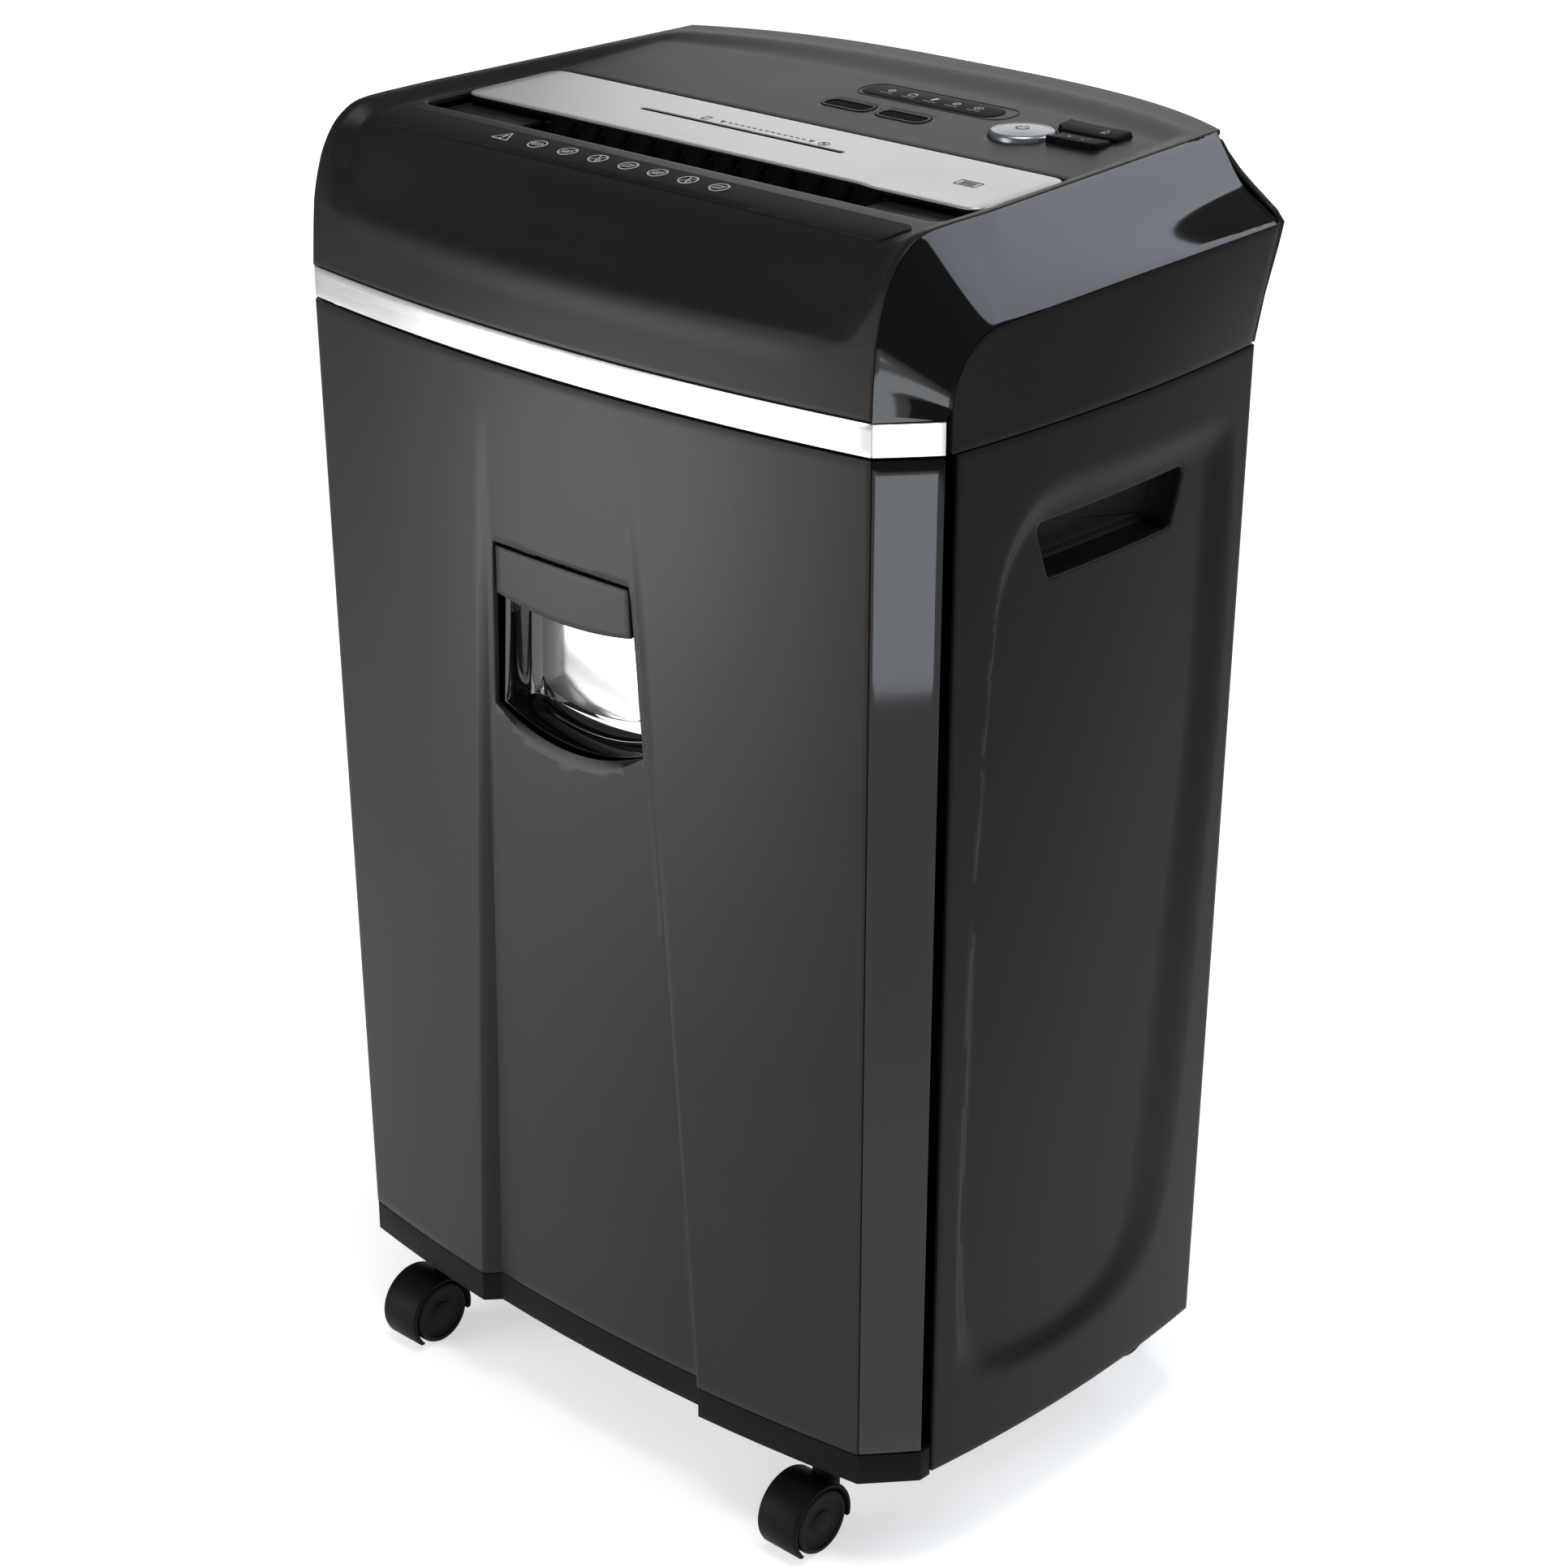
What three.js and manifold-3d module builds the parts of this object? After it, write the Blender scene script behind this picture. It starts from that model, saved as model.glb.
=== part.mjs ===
// Paper shredder with a pull-out bin on four twin-wheel casters.
// Millimetres, +Z up, front towards -Y, origin on the floor under the middle.

import * as THREE from 'three';
import { mergeVertices } from 'three/addons/utils/BufferGeometryUtils.js';
import Module from 'manifold-3d';

const wasm = await Module();
wasm.setup();

// ---- Driving dimensions ------------------------------------------------

// Cabinet plan, measured where the head sits on it
const depth = 302.4;
const frontHalf = 185;
const frontBulge = 15;
const chamferWidth = 21;
const chamferDepth = 24.5;
const sideBulge = 7;
const rearHalf = 200;
const rearBulge = 33;
const taperShare = 0.035;

// Heights of the cabinet
const baseZ = 52;
const baseStripHeight = 17;
const cabinetHeight = 530;

// Walls and clearances
const wall = 3;
const gap = 0.4;
const panelSlit = 8;

// Bin; heights are given as drops below the seam under the head
const recessDepth = 8;
const recessTopDrop = 22;
const creaseTop = 50;
const creaseBottom = 77;
const creaseWidth = 7;
const binHalf = 168;
const binFrontY = -108;
const binRearY = 112;
const binWall = 2.5;
const binTopDrop = 22;
const windowTopDrop = 91;
const windowSideDrop = 176;
const windowBottomDrop = 188;
const windowTopHalf = 46.5;
const windowBottomHalf = 51;
const windowDepth = 25;
const windowWall = 2;
const gripHeight = 26;
const gripThickness = 5;

// Side handle pocket
const pocketTopDrop = 48;
const pocketBottomDrop = 76;
const pocketFrontY = -46.7;
const pocketRearY = 66.3;
const pocketSlant = 10;
const pocketDepth = 20;

// Head
const bandHeight = 16.2;
const deckRearHalf = 174;
const flareFront = 0.5;
const flareHalf = 213.4;
const flareRise = 9;
const coverEdgeZ = 52;
const coverArc = 32;
const deckSlope = 0.0187;
const deckRise = 94;

// Paper entry
const entryHalf = 169;
const entryFrontY = -76;
const entryRearY = 16;
const ledgeDrop = 5;
const ledgeThickness = 3.5;
const throatHalf = 113;
const throatY = -55;
const throatWidth = 20;
const plateFrontY = -49;
const plateThickness = 6.1;
const cardSlotWidth = 2.5;

// Controls
const powerX = 100;
const powerY = 62.5;
const powerRadius = 16;
const buttonRise = 3;
const buttonTravel = 1.5;
const keyHalf = { x: 19, y: 7.4 };
const keyX = 127;
const reverseY = 81.5;
const forwardY = 65.5;

// Cutter block
const shaftZ = 43;
const shaftSpacing = 36;
const discRadius = 20;
const coreRadius = 14;
const journalRadius = 8;
const discCount = 10;
const discWidth = 10;
const plateClear = 8;
const plateWall = 3;
const motorRadius = 29;

// Casters
const casterX = 142;
const casterFrontY = -114.2;
const casterRearY = 102;
const casterTrail = 16;
const wheelRadius = 17.5;
const wheelWidth = 10.8;
const hoodRadius = 21;
const hoodWall = 2.2;
const stemRadius = 5;
const wheelSides = 20;

// ---- Values worked out from them ---------------------------------------

const seamZ = baseZ + cabinetHeight;
const frontY = -depth / 2 + frontBulge;
const rearY = depth / 2 - rearBulge;
const chamferX = frontHalf + chamferWidth;
const chamferY = frontY + chamferDepth;
const sideFrontY = chamferY + panelSlit;
const binBottomZ = baseZ + baseStripHeight + gap;
const headZ = seamZ + bandHeight;
const stripTopZ = baseZ + baseStripHeight - gap;
const frontShaftY = throatY - shaftSpacing / 2;
const rearShaftY = throatY + shaftSpacing / 2;
const recessTopZ = seamZ - recessTopDrop;
const binTopZ = seamZ - binTopDrop;
const windowTopZ = seamZ - windowTopDrop;
const windowSideZ = seamZ - windowSideDrop;
const windowBottomZ = seamZ - windowBottomDrop;
const pocketTopZ = seamZ - pocketTopDrop;
const pocketBottomZ = seamZ - pocketBottomDrop;
const discPitch = 2 * (throatHalf - 3) / discCount;
const plateX = throatHalf + plateClear;
const floorZ = seamZ + 2;
const floorThickness = 3.5;
const wheelZ = wheelRadius * Math.cos(Math.PI / wheelSides);

// ---- Materials ---------------------------------------------------------

const paint = (color, roughness, metalness = 0) =>
  new THREE.MeshStandardMaterial({ color, roughness, metalness });
const charcoal = paint(0x3e3d39, 0.6);
const black = paint(0x232323, 0.65);
const gloss = paint(0x0b0c10, 0.12);
const silver = paint(0xd2d4d6, 0.28, 0.9);
const satin = paint(0xc5c9cc, 0.4, 0.7);
const smoke = paint(0x15171a, 0.08);
const steel = paint(0x8d9094, 0.35, 1);
const board = paint(0x1c5a36, 0.6);

// ---- Mesh helpers ------------------------------------------------------

function weld(geometry) {
  const bare = geometry.index ? geometry.toNonIndexed() : geometry.clone();
  bare.deleteAttribute('normal');
  bare.deleteAttribute('uv');
  return mergeVertices(bare, 1e-4);
}

// A patch bent the other way round is turned so that its faces point out.
function facingOut(geometry) {
  const index = geometry.index;
  const place = geometry.attributes.position;
  const a = new THREE.Vector3();
  const b = new THREE.Vector3();
  const c = new THREE.Vector3();
  let volume = 0;
  for (let i = 0; i < index.count; i += 3) {
    a.fromBufferAttribute(place, index.getX(i));
    b.fromBufferAttribute(place, index.getX(i + 1));
    c.fromBufferAttribute(place, index.getX(i + 2));
    volume += a.dot(b.cross(c));
  }
  if (volume < 0) {
    for (let i = 0; i < index.count; i += 3) {
      const first = index.getX(i);
      index.setX(i, index.getX(i + 1));
      index.setX(i + 1, first);
    }
  }
  return geometry;
}

function solid(geometry) {
  const welded = facingOut(weld(geometry));
  return new wasm.Manifold(new wasm.Mesh({
    numProp: 3,
    vertProperties: new Float32Array(welded.attributes.position.array),
    triVerts: new Uint32Array(welded.index.array),
  }));
}

function shape(body) {
  const mesh = body.getMesh();
  const geometry = new THREE.BufferGeometry();
  geometry.setAttribute('position', new THREE.BufferAttribute(mesh.vertProperties, 3));
  geometry.setIndex(new THREE.BufferAttribute(mesh.triVerts, 1));
  return geometry;
}

// A bent sheet: `outside` and `inside` give a point for each column and row.
function sheet(columns, rows, outside, inside) {
  const geometry = new THREE.BoxGeometry(1, 1, 1, columns.length - 1, rows.length - 1, 1);
  const place = geometry.attributes.position;
  for (let i = 0; i < place.count; i++) {
    const u = columns[Math.round((place.getX(i) + 0.5) * (columns.length - 1))];
    const v = rows[Math.round((place.getY(i) + 0.5) * (rows.length - 1))];
    const side = place.getZ(i) > 0 ? outside : inside;
    place.setXYZ(i, ...side(u, v));
  }
  return solid(geometry);
}

function block(low, high) {
  const size = high.map((value, i) => value - low[i]);
  const geometry = new THREE.BoxGeometry(...size);
  geometry.translate(...low.map((value, i) => value + size[i] / 2));
  return solid(geometry);
}

// A cylinder along `axis` from `from` to `to`, centred on the two other coordinates.
function rod(axis, radius, from, to, centre, sides = 24) {
  const geometry = new THREE.CylinderGeometry(radius, radius, to - from, sides);
  geometry.rotateY(Math.PI / sides);
  return turned(geometry, axis, (from + to) / 2, centre);
}

// Moves a geometry made along +Y so that it runs along another axis.
function turned(geometry, axis, along, centre) {
  if (axis === 'x') {
    geometry.rotateZ(-Math.PI / 2);
    geometry.translate(along, centre[0], centre[1]);
  } else if (axis === 'z') {
    geometry.rotateX(Math.PI / 2);
    geometry.translate(centre[0], centre[1], along);
  } else {
    geometry.translate(centre[0], along, centre[1]);
  }
  return solid(geometry);
}

// A corner-rounded outline through the given points.
function rounded(points, radius) {
  const outline = new THREE.Shape();
  points.forEach((point, i) => {
    const here = new THREE.Vector2(...point);
    const before = new THREE.Vector2(...points.at(i - 1));
    const after = new THREE.Vector2(...points[(i + 1) % points.length]);
    const reach = Math.min(radius, here.distanceTo(before) / 2.1, here.distanceTo(after) / 2.1);
    const start = here.clone().add(before.sub(here).setLength(reach));
    const end = here.clone().add(after.sub(here).setLength(reach));
    if (i === 0) outline.moveTo(start.x, start.y);
    else outline.lineTo(start.x, start.y);
    outline.quadraticCurveTo(here.x, here.y, end.x, end.y);
  });
  return outline;
}

const oblong = (halfX, halfY, radius) => rounded(
  [[-halfX, -halfY], [halfX, -halfY], [halfX, halfY], [-halfX, halfY]], radius);

// An outline in X and Y raised from z `from` to z `to`.
function raise(outline, from, to, curveSegments = 4) {
  const geometry = new THREE.ExtrudeGeometry(
    outline, { depth: to - from, bevelEnabled: false, curveSegments });
  geometry.translate(0, 0, from);
  return solid(geometry);
}

// An outline in Y and Z carried along X.
function raiseAlongX(outline, from, to, curveSegments = 4) {
  const geometry = new THREE.ExtrudeGeometry(
    outline, { depth: to - from, bevelEnabled: false, curveSegments });
  geometry.translate(0, 0, from);
  geometry.applyMatrix4(new THREE.Matrix4().makeBasis(
    new THREE.Vector3(0, 1, 0), new THREE.Vector3(0, 0, 1), new THREE.Vector3(1, 0, 0)));
  return solid(geometry);
}

// An outline in X and Z carried along Y.
function raiseAlongY(outline, from, to, curveSegments = 4) {
  const geometry = new THREE.ExtrudeGeometry(
    outline, { depth: to - from, bevelEnabled: false, curveSegments });
  geometry.rotateX(Math.PI / 2);
  geometry.translate(0, to, 0);
  return solid(geometry);
}

const mirrored = (body) => body.mirror([1, 0, 0]);
const steps = (from, to, count) =>
  Array.from({ length: count + 1 }, (_, i) => from + (to - from) * i / count);
const mix = THREE.MathUtils.lerp;
const clamp = THREE.MathUtils.clamp;

// ---- Surfaces shared by the casings -------------------------------------

const taper = (z) => 1 - taperShare * Math.max(0, seamZ - z) / cabinetHeight;
const frontLine = (x) => frontY - frontBulge * (1 - (x / frontHalf) ** 2);
const rearLine = (x, half) => rearY + rearBulge * (1 - Math.abs(x / half) ** 3);
function sideLine(y) {
  const share = clamp((y - chamferY) / (rearY - chamferY), 0, 1);
  return mix(chamferX, rearHalf, share) + 4 * sideBulge * share * (1 - share);
}

const creaseX = (z) => mix(creaseBottom, creaseTop,
  (z - binBottomZ) / (recessTopZ - binBottomZ));
const recess = (z) => recessDepth * clamp(
  (recessTopZ - z) / (recessTopZ - binBottomZ), 0, 1);

// Columns of the bin front: the middle third lies between the creases.
const creaseShare = 0.35;
const stepShare = 0.45;
function frontColumn(u, z, half) {
  const inner = creaseX(z) - creaseWidth / 2;
  const outer = creaseX(z) + creaseWidth / 2;
  const size = Math.abs(u);
  let x = mix(outer, half * taper(z), (size - stepShare) / (1 - stepShare));
  if (size <= creaseShare) x = inner * size / creaseShare;
  else if (size <= stepShare) x = mix(inner, outer, (size - creaseShare) / (stepShare - creaseShare));
  return Math.sign(u) * x;
}
function frontFace(u, z, half) {
  const x = frontColumn(u, z, half);
  const scale = taper(z);
  const sunk = Math.abs(u) <= creaseShare ? recess(z) : 0;
  return [x, frontLine(x / scale) * scale + sunk, z];
}

function sideFace(y, z) {
  const scale = taper(z);
  return [sideLine(y / scale) * scale, y, z];
}

// ---- Cabinet -----------------------------------------------------------

function basePlan(inset) {
  const half = creaseBottom / taper(baseZ);
  const sunk = recessDepth / taper(baseZ);
  const points = [];
  for (const x of steps(-frontHalf + inset, -half - creaseWidth / 2, 5)) {
    points.push([x, frontLine(x) + inset]);
  }
  for (const x of steps(-half + creaseWidth / 2, half - creaseWidth / 2, 6)) {
    points.push([x, frontLine(x) + sunk + inset]);
  }
  for (const x of steps(half + creaseWidth / 2, frontHalf - inset, 5)) {
    points.push([x, frontLine(x) + inset]);
  }
  const stepY = sideFrontY - gap - inset;
  const sideRun = steps(stepY, rearY - wall - gap - inset, 8);
  const inwards = wall + gap + inset;
  const right = [[chamferX - inset, chamferY + inset / 2], [chamferX - inset, stepY]];
  for (const y of sideRun) {
    right.push([sideLine(y) - inwards, y]);
  }
  const left = right.map(([x, y]) => [-x, y]).reverse();
  points.push(...right);
  for (const x of steps(rearHalf - inwards - 6, -(rearHalf - inwards - 6), 10)) {
    points.push([x, rearLine(x, rearHalf) - wall - gap - inset]);
  }
  points.push(...left);
  return new THREE.Shape(points.map(([x, y]) => new THREE.Vector2(x, y).multiplyScalar(taper(baseZ))));
}

const casterPlaces = [
  { name: 'front_left', x: -casterX, y: casterFrontY, ahead: -1 },
  { name: 'front_right', x: casterX, y: casterFrontY, ahead: -1 },
  { name: 'rear_left', x: -casterX, y: casterRearY, ahead: 1 },
  { name: 'rear_right', x: casterX, y: casterRearY, ahead: 1 },
];

const trayFloor = 4;
const trayWall = 4;
function baseTray() {
  let body = raise(basePlan(0), baseZ, stripTopZ)
    .subtract(raise(basePlan(trayWall), baseZ + trayFloor, stripTopZ + 1));
  for (const place of casterPlaces) {
    const centre = [place.x, place.y];
    body = body.add(rod('z', stemRadius + 4, baseZ + 1, stripTopZ - 1, centre, 16));
    body = body.subtract(rod('z', stemRadius + gap, baseZ - 1, stripTopZ + 1, centre, 16));
  }
  return body;
}

const railWidth = 24;
const railFoot = binHalf * taper(baseZ) - railWidth + 2;
function binRail() {
  const lipX = railFoot + railWidth;
  const outline = new THREE.Shape([
    [railFoot, baseZ + trayFloor + gap], [lipX + 3, baseZ + trayFloor + gap],
    [lipX + 3, binBottomZ + 14], [lipX, binBottomZ + 14],
    [lipX, binBottomZ + 0.5], [railFoot, binBottomZ + 0.5],
  ].map(([x, z]) => new THREE.Vector2(x, z)));
  return raiseAlongY(outline, casterFrontY + 14, casterRearY - 14);
}

const sideBottom = (y) => mix(baseZ + 2, baseZ - 4, (y - sideFrontY) / (rearY - sideFrontY));
function sidePanel() {
  const columns = steps(sideFrontY, rearY, 12);
  const height = (y, v) => mix(sideBottom(y), seamZ - gap, v);
  const skin = sheet(columns, steps(0, 1, 3),
    (y, v) => sideFace(y * taper(height(y, v)), height(y, v)),
    (y, v) => {
      const [x, at, z] = sideFace(y * taper(height(y, v)), height(y, v));
      return [x - wall, at, z];
    });
  const rim = 3;
  const ends = steps(pocketFrontY - rim, pocketRearY + rim, 6);
  const levels = [pocketBottomZ - rim, pocketTopZ + rim];
  const backX = rearHalf - pocketDepth;
  const cup = sheet(ends, levels,
    (y, z) => [sideFace(y, z)[0] - 1, y, z],
    (y, z) => [backX, y, z]);
  const mouth = rounded([
    [pocketFrontY + pocketSlant, pocketBottomZ], [pocketRearY - pocketSlant, pocketBottomZ],
    [pocketRearY, pocketTopZ], [pocketFrontY, pocketTopZ],
  ], 6);
  return skin.add(cup).subtract(raiseAlongX(mouth, backX + 2, chamferX + sideBulge + 5));
}

function backPanel() {
  const half = rearHalf - wall - gap;
  const columns = steps(-1, 1, 16);
  const place = (u, z, inwards) => {
    const scale = taper(z);
    return [u * half * scale, (rearLine(u * half, rearHalf) - inwards) * scale, z];
  };
  return sheet(columns, [baseZ, seamZ - gap],
    (u, z) => place(u, z, 0), (u, z) => place(u, z, wall));
}

// ---- Bin ---------------------------------------------------------------

function windowOutline(inset) {
  const bottomHalf = windowBottomHalf - inset;
  const outline = new THREE.Shape();
  outline.moveTo(-windowTopHalf + inset, windowTopZ - inset);
  outline.lineTo(-bottomHalf, windowSideZ);
  outline.quadraticCurveTo(0, 2 * (windowBottomZ + inset) - windowSideZ, bottomHalf, windowSideZ);
  outline.lineTo(windowTopHalf - inset, windowTopZ - inset);
  return outline;
}

const binTop = seamZ - 1;
const faceColumns = [-1, -0.82, -0.64, -0.45, -0.35, -0.2, 0, 0.2, 0.35, 0.45, 0.64, 0.82, 1];
const windowFaceY = frontLine(0) * taper(windowSideZ);

function binFront() {
  const half = frontHalf - gap / 2;
  const skin = sheet(faceColumns, [binBottomZ, windowBottomZ, windowTopZ, recessTopZ, binTop],
    (u, z) => frontFace(u, z, half),
    (u, z) => {
      const [x, y] = frontFace(u, z, half);
      return [x, y + wall, z];
    });
  return skin.subtract(raiseAlongY(windowOutline(0), frontY - frontBulge - 5, frontY + 20, 12));
}

const stripWall = 4;
function cornerStrip(low, high) {
  const place = (u, z, inwards) => {
    const scale = taper(z);
    const x = mix(frontHalf + gap / 2, chamferX, u);
    return [x * scale, (mix(frontY, chamferY, u) + inwards) * scale, z];
  };
  return sheet([0, 1], [low, high],
    (u, z) => place(u, z, 0), (u, z) => place(u, z, stripWall));
}

const box = (z) => ({ x: binHalf * taper(z), front: binFrontY * taper(z), rear: binRearY * taper(z) });
function binTub() {
  const levels = [binBottomZ + 1, binTopZ];
  const place = (u, v, z, inset) => {
    const size = box(z);
    return [u * (size.x - inset), mix(size.front + inset, size.rear - inset, v), z];
  };
  const hull = (low, high, inset) => sheet([-1, 1], [0, 1],
    (u, v) => place(u, v, high, inset), (u, v) => place(u, v, low, inset));
  let body = hull(levels[0], levels[1], 0).subtract(hull(levels[0] + binWall, levels[1] + 5, binWall));
  for (const side of [-1, 1]) {
    // A rib each side carries the front panel
    const rib = sheet([0.6, 0.63], [levels[0] + 20, levels[1] - 20],
      (u, z) => {
        const [x, y] = frontFace(side * u, z, frontHalf);
        return [x, y + wall + gap, z];
      },
      (u, z) => [frontFace(side * u, z, frontHalf)[0], box(z).front + 1, z]);
    body = body.add(rib);
  }
  return body;
}

function binWindow() {
  const mouthY = windowFaceY + 1.5;
  const backY = mouthY + windowDepth;
  return raiseAlongY(windowOutline(gap), mouthY, backY, 12)
    .subtract(raiseAlongY(windowOutline(gap + windowWall), mouthY - 1, backY - windowWall, 12));
}

function binGrip() {
  const half = windowTopHalf - windowWall - 2 * gap;
  const top = windowTopZ - windowWall - 3 * gap;
  const columns = steps(-1, 1, 8);
  const height = (u, v) => mix(top - gripHeight - 4 * (1 - u * u), top, v);
  return sheet(columns, [0, 1],
    (u, v) => [u * half, windowFaceY + 0.6, height(u, v)],
    (u, v) => [u * half, windowFaceY + 0.6 + gripThickness, height(u, v)]);
}

// ---- Head casings ------------------------------------------------------

// Section of the deck along its side edge: distance behind the front, height above the seam.
const edgeSection = [
  [0, 16.6], [1.3, 34.7], [2.2, 44], [3, 50.6], [5.8, 62.2], [10.2, 73.5], [17, 83.5],
  [25.1, 89.7], [34.1, 93], [48.8, deckRise],
];
// Section through the hollowed front and the sunken deck, point for point with the one above.
const middleSection = [
  [0, 16.6], [1.2, 33], [2.6, 48.5], [9, 55], [15, 64], [20.5, 75], [24.5, 83.5],
  [28, 86.9], [36, 88], [48.8, deckRise - 5.3],
];
const deckStations = [-76, -50, -16, 16, 50, 78, 84, 90, 104];
const sunkUntil = 84;
const edgeHeight = (y) => seamZ + deckRise + deckSlope * (y - frontY - 48.8);
// The deck lies deeper at the paper entry than behind the controls
const sink = { front: 5, rear: 2, from: entryRearY, step: 6 };
const sinkAt = (y) => mix(sink.front, sink.rear, clamp((y - sink.from) / (sunkUntil - sink.from), 0, 1));
const middleHeight = (y) => edgeHeight(y)
  - sinkAt(y) * clamp((sunkUntil + sink.step - y) / sink.step, 0, 1);

function sectionPoint(i, share) {
  if (i < edgeSection.length) {
    const [edgeY, edgeZ] = edgeSection[i];
    const [middleY, middleZ] = middleSection[i];
    return [frontY + mix(edgeY, middleY, share), seamZ + mix(edgeZ, middleZ, share)];
  }
  const y = [...deckStations, rearY][i - edgeSection.length];
  return [y, mix(edgeHeight(y), middleHeight(y), share)];
}
const sectionCount = edgeSection.length + deckStations.length + 1;

// Unit normal of the side edge's section, in Y and Z.
function sectionNormal(i) {
  const [y0, z0] = sectionPoint(Math.max(0, i - 1), 0);
  const [y1, z1] = sectionPoint(Math.min(sectionCount - 1, i + 1), 0);
  const length = Math.hypot(y1 - y0, z1 - z0);
  return [-(z1 - z0) / length, (y1 - y0) / length];
}

const deckHalf = (y) => mix(frontHalf, deckRearHalf, clamp((y + 60) / (rearY + 60), 0, 1));
function deckShift(u, y) {
  const atFront = 1 - THREE.MathUtils.smoothstep(y, frontY + 10, frontY + 36);
  const atRear = THREE.MathUtils.smoothstep(y, 20, rearY);
  return -frontBulge * (1 - u * u) * atFront + rearBulge * (1 - Math.abs(u) ** 3) * atRear;
}
function deckFace(u, i, half = deckHalf) {
  const share = 1 - THREE.MathUtils.smoothstep(Math.abs(u), 0.925, 0.985);
  const [y, z] = sectionPoint(i, share);
  return [u * half(y), y + deckShift(u, y), z];
}

// Height of the deck at x and y
function deckAt(x, y) {
  let [lastY, lastZ] = [frontY - depth, seamZ];
  for (let i = 0; i < sectionCount; i++) {
    const u = x / deckHalf(sectionPoint(i, 1)[0]);
    const [, nextY, nextZ] = deckFace(clamp(u, -1, 1), i);
    if (nextY >= y) return mix(lastZ, nextZ, (y - lastY) / (nextY - lastY));
    [lastY, lastZ] = [nextY, nextZ];
  }
  return lastZ;
}

const powerHole = powerRadius + gap;
const ventPlaces = [-1, 34.5];
const ventY = 52;
const ventHalf = { x: 15, y: 6.2 };
const indicator = { x: 27, y: 82.5, halfX: 43, halfY: 9.5 };

function keyOutline(y, grow) {
  const points = [
    [keyX - keyHalf.x - grow, y - keyHalf.y - grow], [keyX + keyHalf.x + grow, y - keyHalf.y - grow],
    [keyX + keyHalf.x + grow, y + keyHalf.y + grow], [keyX - keyHalf.x - grow, y + keyHalf.y + grow],
  ];
  return rounded(points, 3);
}

function topCover() {
  const side = [0.2, 0.4, 0.6, 0.8, 0.925, 0.955, 0.985, 1];
  const columns = [...side.map((u) => -u).reverse(), 0, ...side];
  const rows = steps(0, sectionCount - 1, sectionCount - 1);
  const half = (y) => deckHalf(y) - gap / 2;
  let body = sheet(columns, rows,
    (u, i) => deckFace(u, i, half),
    (u, i) => {
      const [x, y, z] = deckFace(u, i, half);
      const [ny, nz] = sectionNormal(i);
      return [x, y - ny * wall, z - nz * wall];
    });
  const low = seamZ + 60;
  const high = seamZ + 130;
  const entry = rounded([
    [-entryHalf, entryFrontY], [entryHalf, entryFrontY],
    [entryHalf, entryRearY], [-entryHalf, entryRearY],
  ], 9);
  body = body.subtract(raise(entry, low, high));
  body = body.subtract(rod('z', powerHole, low, high, [powerX, powerY]));
  for (const y of [reverseY, forwardY]) {
    body = body.subtract(raise(keyOutline(y, gap), low, high, 2).subtract(keyArc(powerHole + 1.5)));
  }
  for (const x of ventPlaces) {
    const hole = raise(oblong(ventHalf.x + gap, ventHalf.y + gap, ventHalf.y), low, high, 3);
    body = body.subtract(hole.translate([x, ventY, 0]));
  }
  return body;
}

const keyArc = (radius) => rod('z', radius, seamZ + 50, seamZ + 140, [powerX, powerY]);

// Top edge of the side cover, where the gloss trim begins
function trimEdge(y) {
  const from = sideFrontY - 4;
  const low = seamZ + coverEdgeZ - coverArc;
  if (y < from + coverArc) {
    return low + Math.sqrt(Math.max(0, coverArc ** 2 - (from + coverArc - y) ** 2));
  }
  return seamZ + coverEdgeZ + flareRise * (y - from - coverArc) / (rearY - from - coverArc);
}
function flankX(y, z) {
  const along = clamp((y - chamferY) / (rearY - chamferY), 0, 1);
  const flare = mix(chamferX + flareFront, flareHalf, along);
  const up = clamp((z - seamZ) / (coverEdgeZ + flareRise * along), 0, 1);
  return mix(sideLine(y), flare, up);
}

const coverRearY = rearY - wall - gap;
function sideCover() {
  const from = sideFrontY - 4;
  const columns = [...steps(from, from + coverArc, 5), ...steps(from + coverArc, coverRearY, 8).slice(1)];
  const height = (y, v) => mix(seamZ + gap, trimEdge(y) - gap / 2, v);
  return sheet(columns, steps(0, 1, 3),
    (y, v) => [flankX(y, height(y, v)), y, height(y, v)],
    (y, v) => [flankX(y, height(y, v)) - wall, y, height(y, v)]);
}

// Outer edge of the gloss trim for station i of the deck section
function trimOuter(i) {
  const from = sideFrontY - 4 - gap;
  const bend = edgeSection.length;
  if (i === 0) return [chamferX, chamferY, headZ + gap];
  if (i <= bend) {
    const angle = Math.PI / 2 * (i - 1) / (bend - 1);
    const y = from + coverArc * (1 - Math.cos(angle));
    const z = seamZ + coverEdgeZ - coverArc * (1 - Math.sin(angle)) + gap / 2;
    return [flankX(y, z), y, z];
  }
  const y = Math.min(sectionPoint(i, 0)[0], coverRearY);
  const z = trimEdge(y) + gap / 2;
  return [flankX(y, z), y, z];
}

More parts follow.
